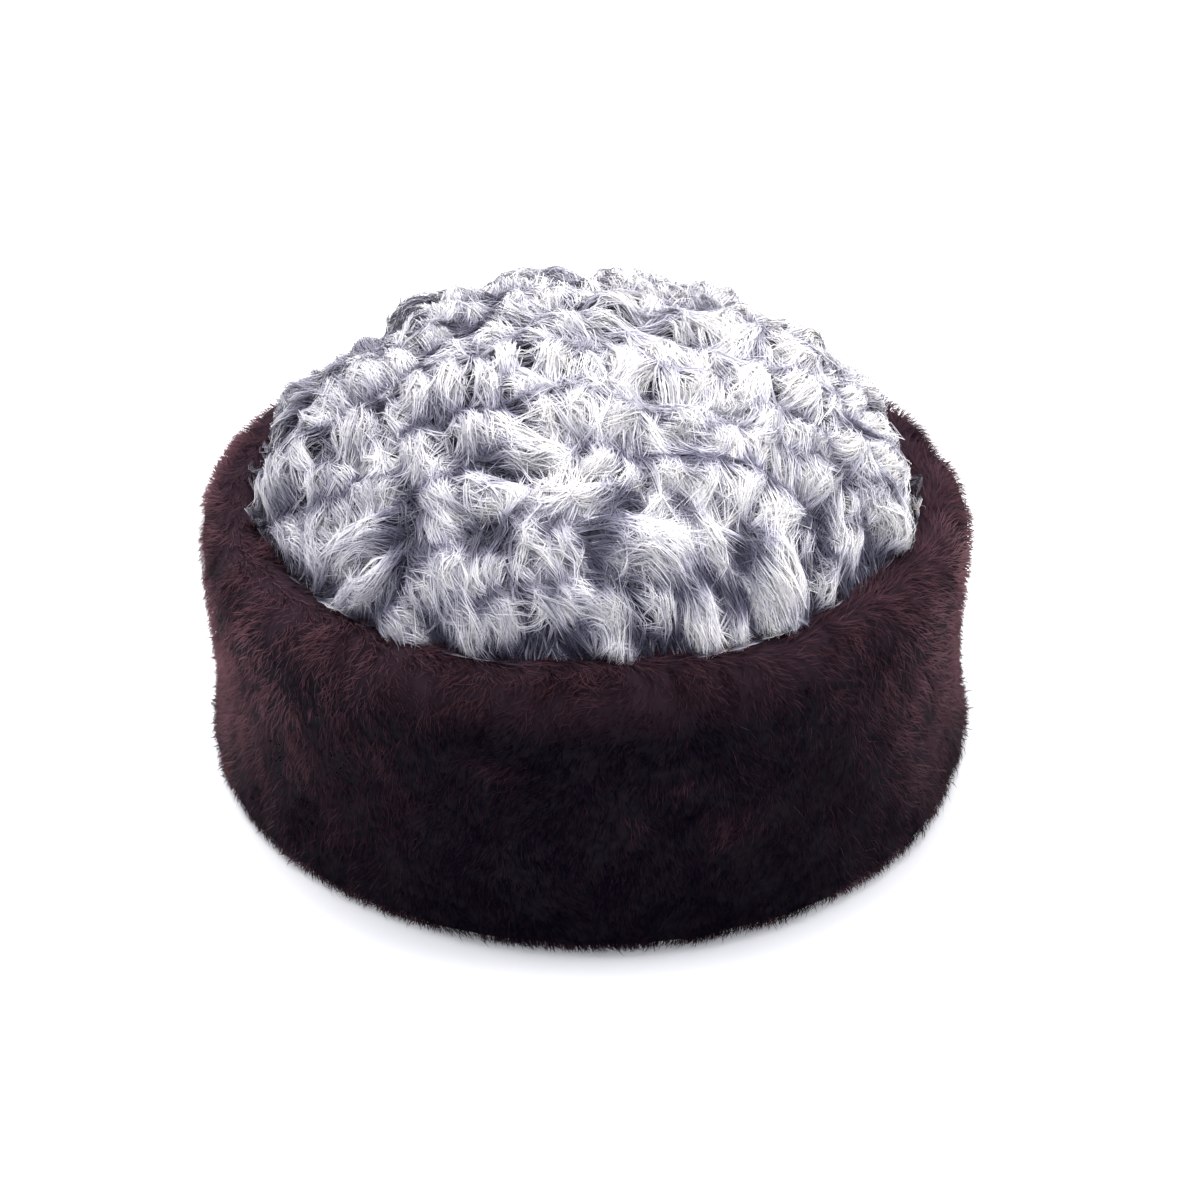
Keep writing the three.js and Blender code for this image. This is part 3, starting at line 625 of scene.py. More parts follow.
def hair_material(name, ramps, roughness, gloss, sheen, sheen_tint):
    """A strand's colour, mixed from a dark and a pale ramp by its tone. The ramps run from the
    strand's dark end to its pale one: on a plain strand from root to tip, and on the crown's curls
    also from painted shade in the hollows to painted light on the crests."""
    material = bpy.data.materials.new(name)
    material.use_nodes = True
    nodes, links = material.node_tree.nodes, material.node_tree.links
    where = nodes.new("ShaderNodeUVMap")
    where.uv_map = "OFBake"
    split = nodes.new("ShaderNodeSeparateXYZ")
    links.new(where.outputs["UV"], split.inputs["Vector"])
    coloured = []
    for ramp in ramps:
        node = nodes.new("ShaderNodeValToRGB")
        while len(node.color_ramp.elements) < len(ramp):
            node.color_ramp.elements.new(0.5)
        for element, (position, colour) in zip(node.color_ramp.elements, ramp):
            element.position = position
            element.color = (*colour, 1.0)
        links.new(split.outputs["Y"], node.inputs["Fac"])
        coloured.append(node)
    mix = nodes.new("ShaderNodeMix")
    mix.data_type = "RGBA"
    links.new(split.outputs["X"], mix.inputs["Factor"])
    dark, pale = coloured
    links.new(dark.outputs["Color"], mix.inputs["A"])
    links.new(pale.outputs["Color"], mix.inputs["B"])
    shader = nodes["Principled BSDF"]
    links.new(mix.outputs["Result"], shader.inputs["Base Color"])
    shader.inputs["Roughness"].default_value = roughness
    shader.inputs["Specular IOR Level"].default_value = gloss
    shader.inputs["Sheen Weight"].default_value = sheen
    shader.inputs["Sheen Roughness"].default_value = 0.26
    shader.inputs["Sheen Tint"].default_value = (*sheen_tint, 1.0)
    return material


ROOT_SHARE = 0.45  # how much of a line of hair lies behind the place that it is combed through


def combed(right, back, lengths, off, bends, points):
    """Lines over the flat pelt with their middles near the given places. They follow the lie of
    the hair, turned by off, and turn by bends on their way."""
    lie = lie_at(right, back) + off
    right = right - ROOT_SHARE * lengths * np.cos(lie)
    back = back - ROOT_SHARE * lengths * np.sin(lie)
    line = [(right, back)]
    for step in range(points - 1):
        lie = lie_at(right, back) + off
        heading = lie + bends * (((step + 0.5) / (points - 1)) ** 1.5 - 0.4)
        right = right + np.cos(heading) * lengths / (points - 1)
        back = back + np.sin(heading) * lengths / (points - 1)
        line.append((right, back))
    line_right, line_back = zip(*line)
    return np.array(line_right).T, np.array(line_back).T


# Each wisp's middle line. A few wisps stray, and some curls' hair bends back the other way.
CURL_HAIRS = 60000
CURL_PIECES = 3
WISP_HAIRS = 10
HAIR_POINTS = 6
HAIR_LENGTH = 0.022
LENGTH_CHANGE = (0.7, 1.3)
COMMON_WIDTH = 0.095  # the width of a curl whose hair has the common length
HAIR_BEND = -2.5
BEND_CHANGE = (0.55, 1.3)
BEND_SPREAD = 0.22
FORWARD_SHARE, BACKWARD_BEND = 0.78, -0.8
OFF_SPREAD = 0.09
STRAY_WISPS, STRAY_SPREAD = 0.03, 0.8
dice = np.random.default_rng(11)
wisps = CURL_HAIRS // WISP_HAIRS
count = wisps * WISP_HAIRS
area = curls["length"] * curls["half"]
area = np.where(np.arange(curl_count) < len(CURLS), area, area * 0.7)
wisp_curl = dice.choice(curl_count, wisps, p=area / area.sum())
wisp_right, wisp_back, _ = on_curl(
    wisp_curl, dice.uniform(-0.6, 0.6, wisps), dice.uniform(-1.1, 1.1, wisps))
swing = np.where(dice.random(curl_count) < FORWARD_SHARE, 1.0, BACKWARD_BEND)
swing = swing * dice.uniform(*BEND_CHANGE, curl_count)
wisp_length = HAIR_LENGTH / pelt_radius * dice.uniform(*LENGTH_CHANGE, wisps)
wisp_length = wisp_length * (curls["width"][wisp_curl] / COMMON_WIDTH) ** 0.7
wisp_off = dice.normal(0, np.where(dice.random(wisps) < STRAY_WISPS, STRAY_SPREAD, OFF_SPREAD))
wisp_bend = HAIR_BEND * swing[wisp_curl] + dice.normal(0, BEND_SPREAD, wisps)
line_right, line_back = combed(
    wisp_right, wisp_back, wisp_length, wisp_off, wisp_bend, HAIR_POINTS)


def per_wisp(values):
    """A value for each hair from a value for each wisp."""
    return np.repeat(values, WISP_HAIRS, axis=0)


# The hairs of a wisp lie side by side along its line and draw together at its tip.
WISP_SPREAD = 0.0012
WISP_CLOSING = 0.9
WAVE_DEPTH, WAVES = 0.0006, 1.2
ALONG_SPREAD = 0.0018
LENGTH_SPREAD = 0.11
line_right, line_back = per_wisp(line_right), per_wisp(line_back)
ahead_right, ahead_back = np.gradient(line_right, axis=1), np.gradient(line_back, axis=1)
size = np.hypot(ahead_right, ahead_back)
ahead_right, ahead_back = ahead_right / size, ahead_back / size
share = np.linspace(0.0, 1.0, HAIR_POINTS)[None, :]
wave = np.sin(2 * math.pi * (share * WAVES + per_wisp(dice.random(wisps))[:, None]))
off_side = dice.normal(0, WISP_SPREAD, count)[:, None] * (1.0 - WISP_CLOSING * share)
off_side = off_side + WAVE_DEPTH * wave
off_along = dice.normal(0, ALONG_SPREAD, count)[:, None]
off_along = off_along + (share - 0.5) * HAIR_LENGTH * dice.normal(0, LENGTH_SPREAD, count)[:, None]
right = line_right + (ahead_right * off_along - ahead_back * off_side) / pelt_radius
back = line_back + (ahead_back * off_along + ahead_right * off_side) / pelt_radius

# A hair's tone, by its curl, its wisp and chance. It is paler to the right and darker in front, and
# among the pale hairs of each wisp are some dark ones.
TONE_LEAST, TONE_MOST = 0.03, 0.97
CURL_TONE, PALE_TONE = 0.2, 0.82
WISP_TONE = 0.18
HAIR_TONE = 0.09
LEFT_RIGHT_TONE, PALER_TO_RIGHT = 0.97, 0.5
DARKER_IN_FRONT, FRONT_FROM = 0.25, 0.45
DARK_HAIRS, DARK_TONE, DARK_TONE_SHARE = 0.24, 0.04, 0.4
dark = dice.random(count) < DARK_HAIRS
tone = CURL_TONE + PALE_TONE * curls["pale"][per_wisp(wisp_curl)]
tone = tone + per_wisp(dice.normal(0, WISP_TONE, wisps))
tone = np.clip(tone + dice.normal(0, HAIR_TONE, count), TONE_LEAST, TONE_MOST)
side_tone = LEFT_RIGHT_TONE + PALER_TO_RIGHT * wisp_right
front_tone = 1.0 + DARKER_IN_FRONT * np.minimum(wisp_back + FRONT_FROM, 0.0)
tone = tone * per_wisp(side_tone * front_tone)
tone = np.where(dark, tone * DARK_TONE_SHARE + DARK_TONE, tone)
tone = np.clip(tone, TONE_LEAST, TONE_MOST)

# A hair's height above the skin, in metres: on its curl, a little arched, with its root lower.
LIFT_CHANGE = (-0.0006, 0.0013)
LIFT_SPREAD = 0.0002
DARK_SINKS = (0.0002, 0.001)
ARCH, ARCH_CHANGE = 0.001, (0.2, 1.4)
STRAY_HAIRS, STRAY_RISE = 0.014, (0.0008, 0.0035)
BED_CHANGE = (0.88, 1.05)
ROOT_HEIGHT, ROOT_RISE = 0.35, 5.0
bed = np.maximum(read_map(height_map, right, back), WOOL_DEPTH)
lift = per_wisp(dice.uniform(*LIFT_CHANGE, wisps)) + dice.normal(0, LIFT_SPREAD, count)
lift = np.where(dark, lift - dice.uniform(*DARK_SINKS, count), lift)
arch = per_wisp(dice.uniform(*ARCH_CHANGE, wisps))[:, None] * ARCH * np.sin(math.pi * share)
stray = np.where(dice.random(count) < STRAY_HAIRS, dice.uniform(*STRAY_RISE, count), 0.0)
above = bed * per_wisp(dice.uniform(*BED_CHANGE, wisps))[:, None] + lift[:, None] + arch
above = (above + stray[:, None] * share) * np.clip(ROOT_HEIGHT + share * ROOT_RISE, 0.0, 1.0)

# At the cuff's lip some of the wisps that lie straight outwards rise a little instead of going
# down behind it.
SPILL_FROM = 0.885
SPILL_SHARE = 0.3
SPILL_RISE = 0.005
LINE_OUTWARDS, TIP_OUTWARDS = 0.6, 0.4
beyond = np.maximum(np.hypot(right, back) - SPILL_FROM, 0.0)
line_out = np.hypot(line_right, line_back)
lengths = per_wisp(wisp_length)
heads_out = line_out[:, -1] - line_out[:, 0] > LINE_OUTWARDS * lengths
ends_out = line_out[:, -1] - line_out[:, -2] > TIP_OUTWARDS * lengths / (HAIR_POINTS - 1)
spills = heads_out & ends_out & per_wisp(dice.random(wisps) < SPILL_SHARE)
beyond = beyond * spills[:, None]
held = 1.0 - beyond / np.hypot(right, back)
right, back = right * held, back * held
above = above + SPILL_RISE * np.tanh(beyond * pelt_radius / SPILL_RISE)
paths, ups = onto_dome(right, back, above)

# A hair is as white as the map says at its place, which holds painted light on the crests and painted
# shade in the hollows, with its root less white, and in front the hollows' painted shade is deeper.
WISP_WHITE_AND_SHADE_CHANGE = (0.72, 1.12)
RIPE_ROOT, RIPE_RISE = 0.45, 1.6
FRONT_CONTRAST, CONTRAST_FROM, CONTRAST_FADE = 0.45, 0.35, 0.3
root_tip_and_shade = read_map(white_and_shade_map, right, back) * per_wisp(dice.uniform(*WISP_WHITE_AND_SHADE_CHANGE, wisps))[:, None]
root_tip_and_shade = np.clip(root_tip_and_shade * np.clip(RIPE_ROOT + RIPE_RISE * share, 0.0, 1.0), 0.0, 1.0)
in_front = np.clip((-CONTRAST_FROM - back) / CONTRAST_FADE, 0.0, 1.0)
root_tip_and_shade = root_tip_and_shade ** (1.0 + FRONT_CONTRAST * in_front)


def rolled(ups, paths, amount):
    """The upward directions of each strand turned a little about it, so its ribbon isn't level."""
    ahead = np.gradient(paths, axis=1)
    ahead /= np.maximum(np.linalg.norm(ahead, axis=2, keepdims=True), 1e-9)
    return ups + np.cross(ups, ahead) * dice.normal(0, amount, len(paths))[:, None, None]


LAMB_DARK = [
    (0.0, (0.018, 0.018, 0.036)),
    (0.5, (0.086, 0.084, 0.137)),
    (1.0, (0.37, 0.36, 0.47)),
]
LAMB_PALE = [
    (0.0, (0.026, 0.026, 0.050)),
    (0.22, (0.155, 0.15, 0.222)),
    (0.45, (0.66, 0.645, 0.735)),
    (0.68, (0.97, 0.96, 0.97)),
    (1.0, (1.0, 0.97, 0.91)),
]
HAIR_HALF_WIDTH = 0.00011
WIDTH_CHANGE = (0.7, 1.25)
HAIR_ROLL = 0.35
HAIR_FACING = 0.05
WISP_FACING = 0.09
lamb_hair = hair_material(
    "lamb_hair", (LAMB_DARK, LAMB_PALE), roughness=0.45, gloss=0.35, sheen=0.1,
    sheen_tint=(1.0, 1.0, 1.0))
ups = rolled(ups, paths, HAIR_ROLL)
facing = (curl_facing(right, back) + dice.normal(0, HAIR_FACING, (count, 1, 3))
          + per_wisp(dice.normal(0, WISP_FACING, (wisps, 1, 3))))
facing /= np.linalg.norm(facing, axis=-1, keepdims=True)
half_widths = HAIR_HALF_WIDTH * dice.uniform(*WIDTH_CHANGE, count)
for number, chosen in enumerate(np.array_split(np.arange(count), CURL_PIECES), 1):
    locks = hair_mesh(f"crown_curls_{number}", paths[chosen], ups[chosen], half_widths[chosen],
                      tone[chosen], root_tip_and_shade[chosen], facing[chosen])
    locks.data.materials.append(lamb_hair)
    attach(locks, "root")
    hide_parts("crown")

# The crown's shorter grey hair, in small tufts. It fills the valleys between the curls and the foot
# of the dome, where the pelt goes down inside the cuff.
SHORT_HAIRS = 20000
SHORT_TUFT = 5
SHORT_POINTS = 4
SHORT_LENGTH = 0.0105
SHORT_LENGTHS = (0.7, 1.2)
SHORT_HALF_WIDTH = 0.00017
SHORT_FOOT = 1.04  # the tufts stand on the pelt to a little past the foot of the dome
SHORT_SPREAD = 0.008
SHORT_TUFT_OFF, SHORT_OFF = 0.45, 0.2
SHORT_TUFT_BEND, SHORT_BEND = 0.8, 0.2
SHORT_ARCH = np.array([[-0.0006, 0.0007, 0.0011, 0.0009]])
SHORT_ARCHES = (0.6, 1.6)
SHORT_ROLL = 0.3
SHORT_TONES, SHORT_TONE = (0.03, 0.3), 0.12
SHORT_RIPE = (0.45, 1.0)
tufts = SHORT_HAIRS // SHORT_TUFT
tuft_out = np.sqrt(dice.uniform(0.0, 1.0, tufts)) * SHORT_FOOT
tuft_turn = dice.uniform(-math.pi, math.pi, tufts)
tuft_off = dice.normal(0, SHORT_TUFT_OFF, tufts)
tuft_tone = dice.uniform(*SHORT_TONES, tufts)
right = np.repeat(tuft_out * np.cos(tuft_turn), SHORT_TUFT)
right = right + dice.normal(0, SHORT_SPREAD, SHORT_HAIRS)
back = np.repeat(tuft_out * np.sin(tuft_turn), SHORT_TUFT)
back = back + dice.normal(0, SHORT_SPREAD, SHORT_HAIRS)
lie = lie_at(right, back)
lie = lie + np.repeat(tuft_off, SHORT_TUFT) + dice.normal(0, SHORT_OFF, SHORT_HAIRS)
bend = np.repeat(dice.normal(0, SHORT_TUFT_BEND, tufts), SHORT_TUFT)
bend = bend + dice.normal(0, SHORT_BEND, SHORT_HAIRS)
reach = SHORT_LENGTH / pelt_radius * dice.uniform(*SHORT_LENGTHS, SHORT_HAIRS)
share = np.linspace(0.0, 1.0, SHORT_POINTS)
halfway = (share[1:] + share[:-1]) / 2
heads = lie[:, None] + bend[:, None] * (halfway[None, :] - 0.5)
start = np.zeros((SHORT_HAIRS, 1))
east = np.concatenate([start, np.cumsum(np.cos(heads) / len(halfway), axis=1)], axis=1)
north = np.concatenate([start, np.cumsum(np.sin(heads) / len(halfway), axis=1)], axis=1)
right = right[:, None] + (east - east.mean(axis=1, keepdims=True)) * reach[:, None]
back = back[:, None] + (north - north.mean(axis=1, keepdims=True)) * reach[:, None]
bed = np.maximum(read_map(height_map, right, back) - WOOL_UNDER_CURLS, WOOL_DEPTH)
arch = SHORT_ARCH * dice.uniform(*SHORT_ARCHES, (SHORT_HAIRS, 1))
paths, ups = onto_dome(right, back, bed + arch)
ups = rolled(ups, paths, SHORT_ROLL)
half_widths = SHORT_HALF_WIDTH * dice.uniform(*WIDTH_CHANGE, SHORT_HAIRS)
tone = np.repeat(tuft_tone, SHORT_TUFT) + dice.normal(0, SHORT_TONE, SHORT_HAIRS)
tone = np.clip(tone, TONE_LEAST, TONE_MOST)
root_tip_and_shade = share[None, :] * dice.uniform(*SHORT_RIPE, SHORT_HAIRS)[:, None]
short = hair_mesh("crown_short_hair", paths, ups, half_widths, tone, root_tip_and_shade,
                  curl_facing(right, back))
short.data.materials.append(lamb_hair)
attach(short, "root")
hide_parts("crown")


# The cuff's form: the same turned outline and dents as the solid it stands for. cuff_point gives
# the places on it for angles round it and shares of the way along its outline, and the outward
# directions there. The outline runs from the foot up the outside and over the top to the inside.
TOP_ROUND = 0.012
LIP_ROUND = 0.006
FOOT_ROUND = 0.007
HEM_ROUND = 0.003
FOOT_STEPS = 9
TOP_STEPS = 11
LIP_STEPS = 8
HEM_STEPS = 5
DENT_COLUMNS = ("round", "up", "wide", "tall", "depth")
DENTS = [
    (205, 0.2, 76, 0.6, 0.22),
    (-4, 0.52, 14, 0.38, 0.15),
    (-18, 0.2, 16, 0.45, 0.07),
    (32, 0.95, 11, 0.32, 0.15),
    (17, 0.98, 9, 0.3, 0.13),
    (262, 0.1, 48, 0.4, 0.1),
    (318, 0.85, 35, 0.45, 0.08),
    (100, 0.3, 56, 0.5, 0.1),
]


def corner_arc(radius, z, round_by, start, end, steps):
    """Points along a round corner of the outline, as radius and height."""
    angles = np.radians(np.linspace(start, end, steps))
    return [(radius + round_by * math.cos(a), z + round_by * math.sin(a)) for a in angles]


outer = WIDTH / 2
outline = np.array(
    [(inner_radius + HEM_ROUND, 0.0)]
    + corner_arc(outer - FOOT_ROUND, FOOT_ROUND, FOOT_ROUND, -90, 0, FOOT_STEPS)
    + corner_arc(outer - TOP_ROUND, BAND_HEIGHT - TOP_ROUND, TOP_ROUND, 0, 90, TOP_STEPS)
    + corner_arc(
        inner_radius + LIP_ROUND, BAND_HEIGHT - LIP_ROUND, LIP_ROUND, 90, 180, LIP_STEPS)
    + corner_arc(inner_radius + HEM_ROUND, HEM_ROUND, HEM_ROUND, 180, 270, HEM_STEPS))
outline_way = np.concatenate([[0.0], np.cumsum(np.hypot(*np.diff(outline, axis=0).T))])
outline_length = outline_way[-1]
lip_way = outline_way[1 + FOOT_STEPS + TOP_STEPS]

# Places where the hair alone lies flatter, and the foot, where it is spread by the floor.
FLAT_HAIR = [
    (188, 0.66, 34, 0.44, 0.08),
    (352, 0.60, 22, 0.34, 0.05),
]
FOOT_SPREAD = 0.0036
FOOT_TALL = 0.02

# In front the cuff's hair is fluffed up and in over the crown's edge.
FLUFF_RISE = 0.0055
FLUFF_LEAN = 0.0075
FLUFF_WIDE = 100.0
FLUFF_OUT = 0.026
FLUFF_IN = 0.014
TANGENT_STEP = 0.0008


def cuff_point(turn, share, inset):
    """Places on the cuff, moved inwards by inset, and the outward directions there."""
    way = share * outline_length
    step = TANGENT_STEP
    radius, z = (np.interp(way, outline_way, outline[:, k]) for k in (0, 1))
    tangent = [np.interp(way + step, outline_way, outline[:, k])
               - np.interp(way - step, outline_way, outline[:, k]) for k in (0, 1)]
    size = np.maximum(np.hypot(*tangent), 1e-9)
    out_r, out_z = tangent[1] / size, -tangent[0] / size
    dented = np.zeros_like(radius + turn)
    degrees = np.degrees(turn)
    for dent in (dict(zip(DENT_COLUMNS, row)) for row in DENTS + FLAT_HAIR):
        off = (degrees - dent["round"] + 180.0) % 360.0 - 180.0
        away = (off / dent["wide"]) ** 2 + ((z / BAND_HEIGHT - dent["up"]) / dent["tall"]) ** 2
        dented = dented + dent["depth"] * np.maximum(0.0, 1.0 - away) ** 2
    lip_radius = inner_radius + LIP_ROUND
    outside = np.clip((radius - lip_radius) / (outer - lip_radius), 0, 1)
    outside = outside * outside * (3 - 2 * outside)
    from_front = (degrees + 90.0 + 180.0) % 360.0 - 180.0
    from_lip = way - lip_way
    fluff_reach = np.where(from_lip < 0, FLUFF_OUT, FLUFF_IN)
    fluffed = np.maximum(0.0, 1.0 - (from_front / FLUFF_WIDE) ** 2) ** 1.5
    fluffed = fluffed * np.maximum(0.0, 1.0 - (from_lip / fluff_reach) ** 2) ** 1.5
    spread = FOOT_SPREAD * outside * np.maximum(0.0, 1.0 - z / FOOT_TALL) ** 1.5
    radius = radius - dented * BAND_THICKNESS * outside - out_r * inset - FLUFF_LEAN * fluffed
    radius = radius + spread
    z = z - out_z * inset + FLUFF_RISE * fluffed
    places = np.stack([radius * np.cos(turn), radius * np.sin(turn) * OVAL,
                       z + np.zeros_like(radius)], -1)
    outs = np.stack([out_r * np.cos(turn), out_r * np.sin(turn), out_z + np.zeros_like(radius)], -1)
    return places, outs


def waves(rows, turn, share):
    """Waves over the cuff, each with its size, its turns round and along it, and its start."""
    return sum(size * np.sin(turn * around + share * along + start)
               for size, around, along, start in rows)


# The cuff's pile: dark fur packed too close to see into, as a soft lumpy form just under the tips
# of its hair. It is turned from the cuff's own outline and closed all round.
PILE_DEPTH = 0.0022
PILE_LUMP = 0.0004
PILE_LUMPS = [(1, 23, 40, 0), (1, 37, -61, 0), (1, 11, 0, 2)]
PILE_STEPS = 200
PILE_RINGS = 60
ON_FLOOR = 1e-5
shares = np.linspace(0.0, 1.0, PILE_RINGS, endpoint=False)
ring, _ = cuff_point(np.zeros(PILE_RINGS), shares, np.zeros(PILE_RINGS))
pile_mesh, places = turned(
    "band_pile", [tuple(place) for place in np.vstack([ring, ring[:1]])], PILE_STEPS)
turn = np.arctan2(places[:, 1], places[:, 0])
radius = np.hypot(places[:, 0], places[:, 1])
ring_radius = np.hypot(ring[:, 0], ring[:, 1])
apart = np.hypot(radius[:, None] - ring_radius[None], places[:, 2][:, None] - ring[:, 2][None])
share = shares[np.argmin(apart, axis=1)]
lump = waves(PILE_LUMPS, turn, share) / 3
inset = np.where(places[:, 2] < ON_FLOOR, 0.0, PILE_DEPTH + PILE_LUMP * lump)
moved, _ = cuff_point(turn, share, inset)
moved[:, 2] = np.maximum(moved[:, 2], 0.0)
band_pile = smooth_piece(pile_mesh, moved)

# The pile is near black, with painted light: brown on top, at the sides and behind, where the light
# falls, and near black in front as painted shade.
PILE_MOTTLING = {"Scale": 420.0, "Detail": 5.0, "Low": 0.35, "High": 0.75,
                 "Dark": (0.002, 0.0016, 0.0045, 1.0), "Pale": (0.010, 0.0065, 0.010, 1.0)}
PILE_LIT_BROWN = (0.022, 0.0112, 0.017, 1.0)
PILE_LIT_PLACES = [
    # axis, where the painted light's brown begins and is full, how much of it there is then
    ("X", 0.085, 0.115, 0.7),
    ("X", -0.085, -0.115, 0.7),
    ("Z", 0.070, 0.080, 1.0),
    ("Y", 0.0, 0.05, 0.8),
]
pile_paint = mottled_material("dark_pile", PILE_MOTTLING, roughness=0.95)
nodes, links = pile_paint.node_tree.nodes, pile_paint.node_tree.links
spot = nodes.new("ShaderNodeTexCoord")
axes = nodes.new("ShaderNodeSeparateXYZ")
links.new(spot.outputs["Object"], axes.inputs["Vector"])
lit_brown_mix = nodes.new("ShaderNodeMix")
lit_brown_mix.data_type = "RGBA"
lit_brown_mix.inputs["B"].default_value = PILE_LIT_BROWN
so_far = None
for axis, begins, full, most in PILE_LIT_PLACES:
    lit_here = nodes.new("ShaderNodeMapRange")
    lit_here.inputs["From Min"].default_value = begins
    lit_here.inputs["From Max"].default_value = full
    lit_here.inputs["To Max"].default_value = most
    links.new(axes.outputs[axis], lit_here.inputs["Value"])
    either = nodes.new("ShaderNodeMath")
    either.operation = "MAXIMUM"
    either.inputs[0].default_value = 0.0
    if so_far is not None:
        links.new(so_far, either.inputs[0])
    links.new(lit_here.outputs["Result"], either.inputs[1])
    so_far = either.outputs["Value"]
links.new(so_far, lit_brown_mix.inputs["Factor"])
links.new(nodes["mottle"].outputs["Colour"], lit_brown_mix.inputs["A"])
links.new(lit_brown_mix.outputs["Result"], nodes["Principled BSDF"].inputs["Base Color"])
nodes["Principled BSDF"].inputs["Specular IOR Level"].default_value = 0.1
pile_mesh.materials.append(pile_paint)
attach(band_pile, "root")
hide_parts("band")

# The cuff's hair: short strands that stand in the pile and lean one way in each patch. Its colour
# carries painted light: brown on top and at the sides, where the light falls, and near black in front
# as painted shade, but for a few streaks.
STREAK_COLUMNS = ("round", "up", "wide", "tall", "brown")
STREAKS = [
    (-84, 0.56, 2.5, 0.09, 0.3),
    (-68, 0.47, 5, 0.11, 0.3),
    (-76, 0.70, 3, 0.06, 0.2),
    (-101, 0.76, 5, 0.05, 0.2),
    (-140, 0.55, 4, 0.2, 0.25),
    (-34, 0.62, 5, 0.12, 0.25),
]
BAND_HAIRS = 96000
BAND_PIECES = 2
BAND_POINTS = 3
BAND_HALF_WIDTH, BAND_WIDTHS = 0.00013, (0.7, 1.3)
BAND_ROOT = 0.00352  # the depth of the roots under the cuff's form
BAND_RISE, RISE_CHANGE = 0.0032, (0.8, 1.2)
LONG_HAIRS, LONG_RISE = 0.04, 1.5
BAND_LEAN, LEAN_CHANGE = 0.0048, (0.5, 1.2)
LEAN_SPREAD = 0.45
LEAN_PATCHES = [(0.5, 3, 5, 0.7), (0.45, 7, -11, 2.1), (0.4, 17, 23, 0.0), (0.3, 31, -37, 1.0)]
TIP_BEND = 0.6
LOWEST_HAIR = 0.0005
TUFT_HAIRS = 6
TUFT_SPREAD = 0.0021
FOOT_TUFTS, FOOT_REACH, FOOT_CLEAR = 0.1, 0.04, 0.004
INSIDE_HAIR = 0.024
dice = np.random.default_rng(5)
tufts = BAND_HAIRS // TUFT_HAIRS
foot_share = (outer - FOOT_ROUND - inner_radius - HEM_ROUND) / outline_length
inside_share = (lip_way + LIP_ROUND * math.pi / 2 + INSIDE_HAIR) / outline_length
at_foot = dice.random(tufts) < FOOT_TUFTS
foot_tufts = dice.uniform(foot_share, foot_share + FOOT_REACH, tufts)
other_tufts = dice.uniform(foot_share + FOOT_CLEAR, inside_share, tufts)
tuft_share = np.where(at_foot, foot_tufts, other_tufts)
tuft_turn = dice.uniform(-math.pi, math.pi, tufts)
turn = np.repeat(tuft_turn, TUFT_HAIRS) + dice.normal(0, TUFT_SPREAD, BAND_HAIRS) / outer
share = np.repeat(tuft_share, TUFT_HAIRS)
share = share + dice.normal(0, TUFT_SPREAD, BAND_HAIRS) / outline_length
roots, outs = cuff_point(turn, share, np.full(BAND_HAIRS, BAND_ROOT))
round_way = np.stack([-np.sin(turn), np.cos(turn), np.zeros_like(turn)], -1)
up_way = np.cross(outs, round_way)

# The hair leans downwards on the outside and turns over to lean inwards at the lip, where it is
# also a little longer.
TURN_BEFORE, TURN_LENGTH = 0.009, 0.014
LIP_LONGER = 2.8
past_lip = share * outline_length - lip_way
over_lip = np.clip((past_lip + TURN_BEFORE) / TURN_LENGTH, 0.0, 1.0)
lean_angle = -math.pi / 2 + waves(LEAN_PATCHES, turn, share) + math.pi * over_lip
lean_angle = lean_angle + dice.normal(0, LEAN_SPREAD, BAND_HAIRS)
lean = np.cos(lean_angle)[:, None] * round_way + np.sin(lean_angle)[:, None] * up_way
step = np.linspace(0.0, 1.0, BAND_POINTS)[None, :, None]
rise = BAND_RISE * dice.uniform(*RISE_CHANGE, BAND_HAIRS)
rise = rise * np.where(dice.random(BAND_HAIRS) < LONG_HAIRS, LONG_RISE, 1.0)
reach = BAND_LEAN * dice.uniform(*LEAN_CHANGE, BAND_HAIRS)
reach = reach * (1.0 + LIP_LONGER * over_lip * (1.0 - over_lip))
standing = (1.0 + TIP_BEND) * step - TIP_BEND * step ** 2
paths = (roots[:, None] + outs[:, None] * rise[:, None, None] * standing
         + lean[:, None] * reach[:, None, None] * step ** 1.5)
paths[:, :, 2] = np.maximum(paths[:, :, 2], LOWEST_HAIR)

# How brown the hair is: painted light from its top edge downwards and on its sides, fading to painted
# shade in front.
TOP_FROM, TOP_FADE = 0.87, 0.11
TOP_LIT_BROWN, TOP_TO_RIGHT = 0.46, -0.14
LOW_LIT_BROWN = 0.12
HIGH_LIT_BROWN, HIGH_TO_RIGHT = 1.35, -0.25
LIT_SIDES_FADE, FADE_TO_RIGHT = 2.6, 0.9
CLUMPS = [(1, 41, 30, 0.0), (1, 23, -53, 1.3), (1, 67, 71, 0.4)]
CLUMP_CONTRAST = 0.5
TUFT_TONE, BAND_TONE = 0.08, 0.035
height = roots[:, 2] / BAND_HEIGHT
to_right = np.cos(turn)
fade = LIT_SIDES_FADE + FADE_TO_RIGHT * to_right
lit_sides = np.where(turn < 0, np.abs(to_right) ** fade, 1.0)
lit_top = np.clip((height - TOP_FROM) / TOP_FADE, 0.0, 1.0)
facing_out = np.clip(outs[:, 0] * to_right + outs[:, 1] * np.sin(turn), 0.0, 1.0)
side_lit_brown = LOW_LIT_BROWN + (HIGH_LIT_BROWN + HIGH_TO_RIGHT * to_right) * height ** 1.4
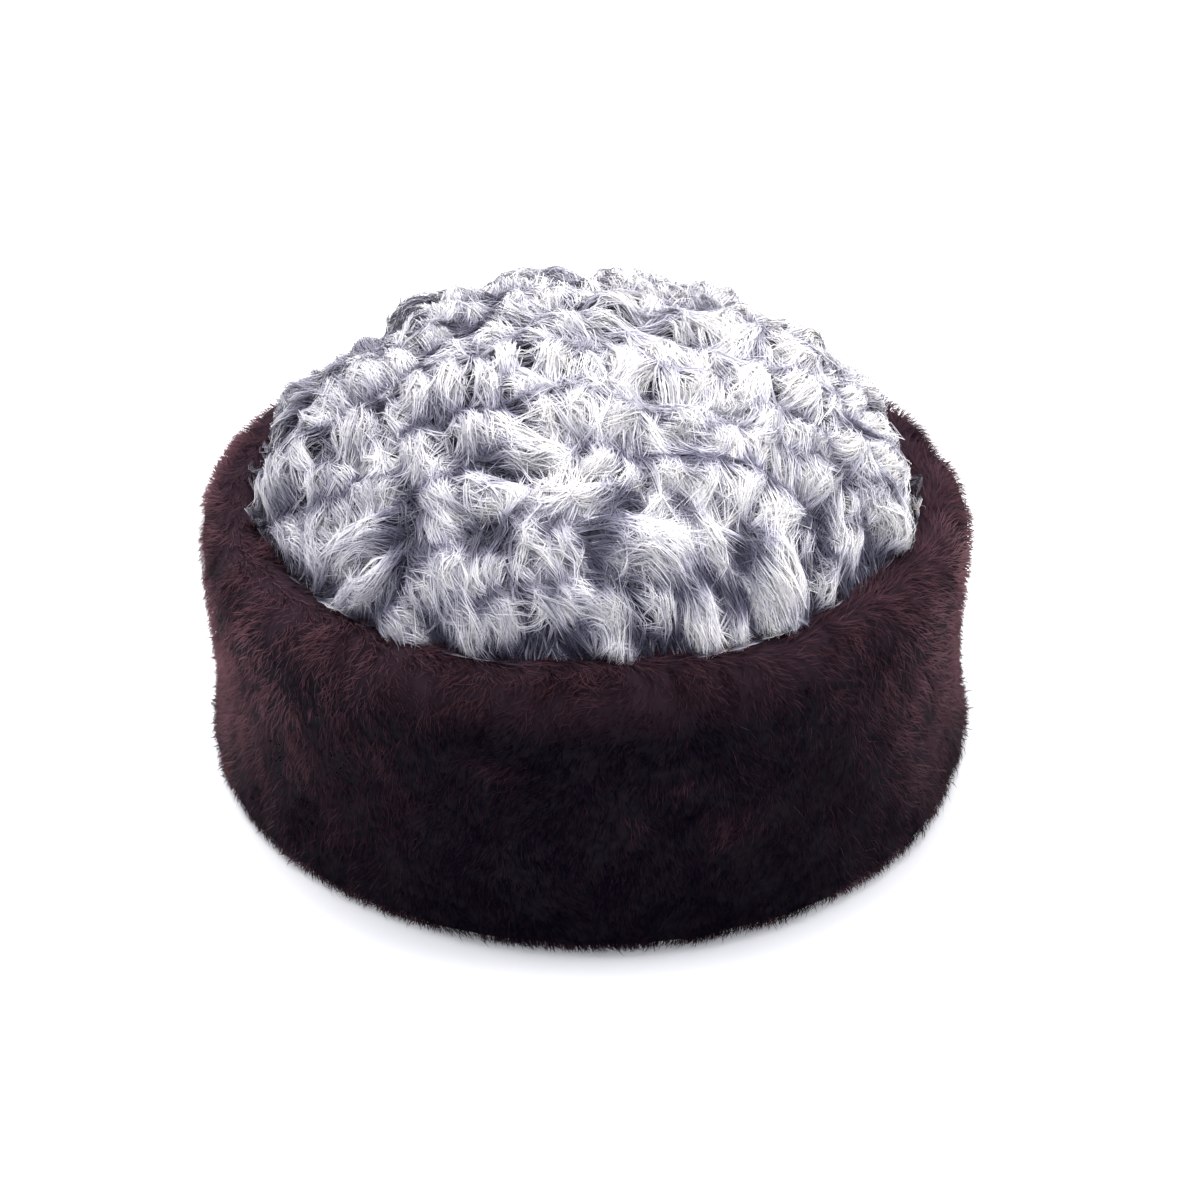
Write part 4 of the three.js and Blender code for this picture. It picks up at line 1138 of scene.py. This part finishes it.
# Painted light and shade: brown where the top and sides are lit, near black in front; the streaks add
# more brown.
brown = lit_top * (TOP_LIT_BROWN + TOP_TO_RIGHT * to_right) + lit_sides * facing_out * side_lit_brown
for streak in (dict(zip(STREAK_COLUMNS, row)) for row in STREAKS):
    away = ((np.degrees(turn) - streak["round"]) / streak["wide"]) ** 2
    away = away + ((height - streak["up"]) / streak["tall"]) ** 2
    brown = brown + streak["brown"] * np.exp(-away)
tone = brown * (1.0 + CLUMP_CONTRAST * waves(CLUMPS, turn, share) / 3)
tone = tone + np.repeat(dice.normal(0, TUFT_TONE, tufts), TUFT_HAIRS)
tone = tone + dice.normal(0, BAND_TONE, BAND_HAIRS)
tone = np.clip(tone, TONE_LEAST, TONE_MOST)

BROWN_DARK = [
    (0.0, (0.0010, 0.0010, 0.0034)),
    (0.5, (0.0012, 0.0013, 0.0052)),
    (1.0, (0.0014, 0.0016, 0.0070)),
]
BROWN_PALE = [
    (0.0, (0.046, 0.0235, 0.039)),
    (0.5, (0.080, 0.038, 0.049)),
    (1.0, (0.134, 0.063, 0.069)),
]
BAND_ROLL = 0.14
BAND_LEAN_FACING, BAND_FACING = 0.35, 0.09
brown_hair = hair_material(
    "brown_hair", (BROWN_DARK, BROWN_PALE), roughness=0.7, gloss=0.0, sheen=0.17,
    sheen_tint=(0.80, 0.46, 0.48))
ups = np.broadcast_to(outs[:, None], paths.shape)
ups = ups + dice.normal(0, BAND_ROLL, (BAND_HAIRS, 1, 3))
half_widths = BAND_HALF_WIDTH * dice.uniform(*BAND_WIDTHS, BAND_HAIRS)
facing = outs + BAND_LEAN_FACING * lean + dice.normal(0, BAND_FACING, (BAND_HAIRS, 3))
facing /= np.linalg.norm(facing, axis=1, keepdims=True)
facing = np.repeat(facing[:, None], BAND_POINTS, axis=1)
root_tip_and_shade = np.broadcast_to(step[:, :, 0], (BAND_HAIRS, BAND_POINTS))
for number, chosen in enumerate(np.array_split(np.arange(BAND_HAIRS), BAND_PIECES), 1):
    tuft = hair_mesh(f"band_hair_{number}", paths[chosen], ups[chosen], half_widths[chosen],
                     tone[chosen], root_tip_and_shade[chosen], facing[chosen])
    tuft.data.materials.append(brown_hair)
    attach(tuft, "root")
    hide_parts("band")
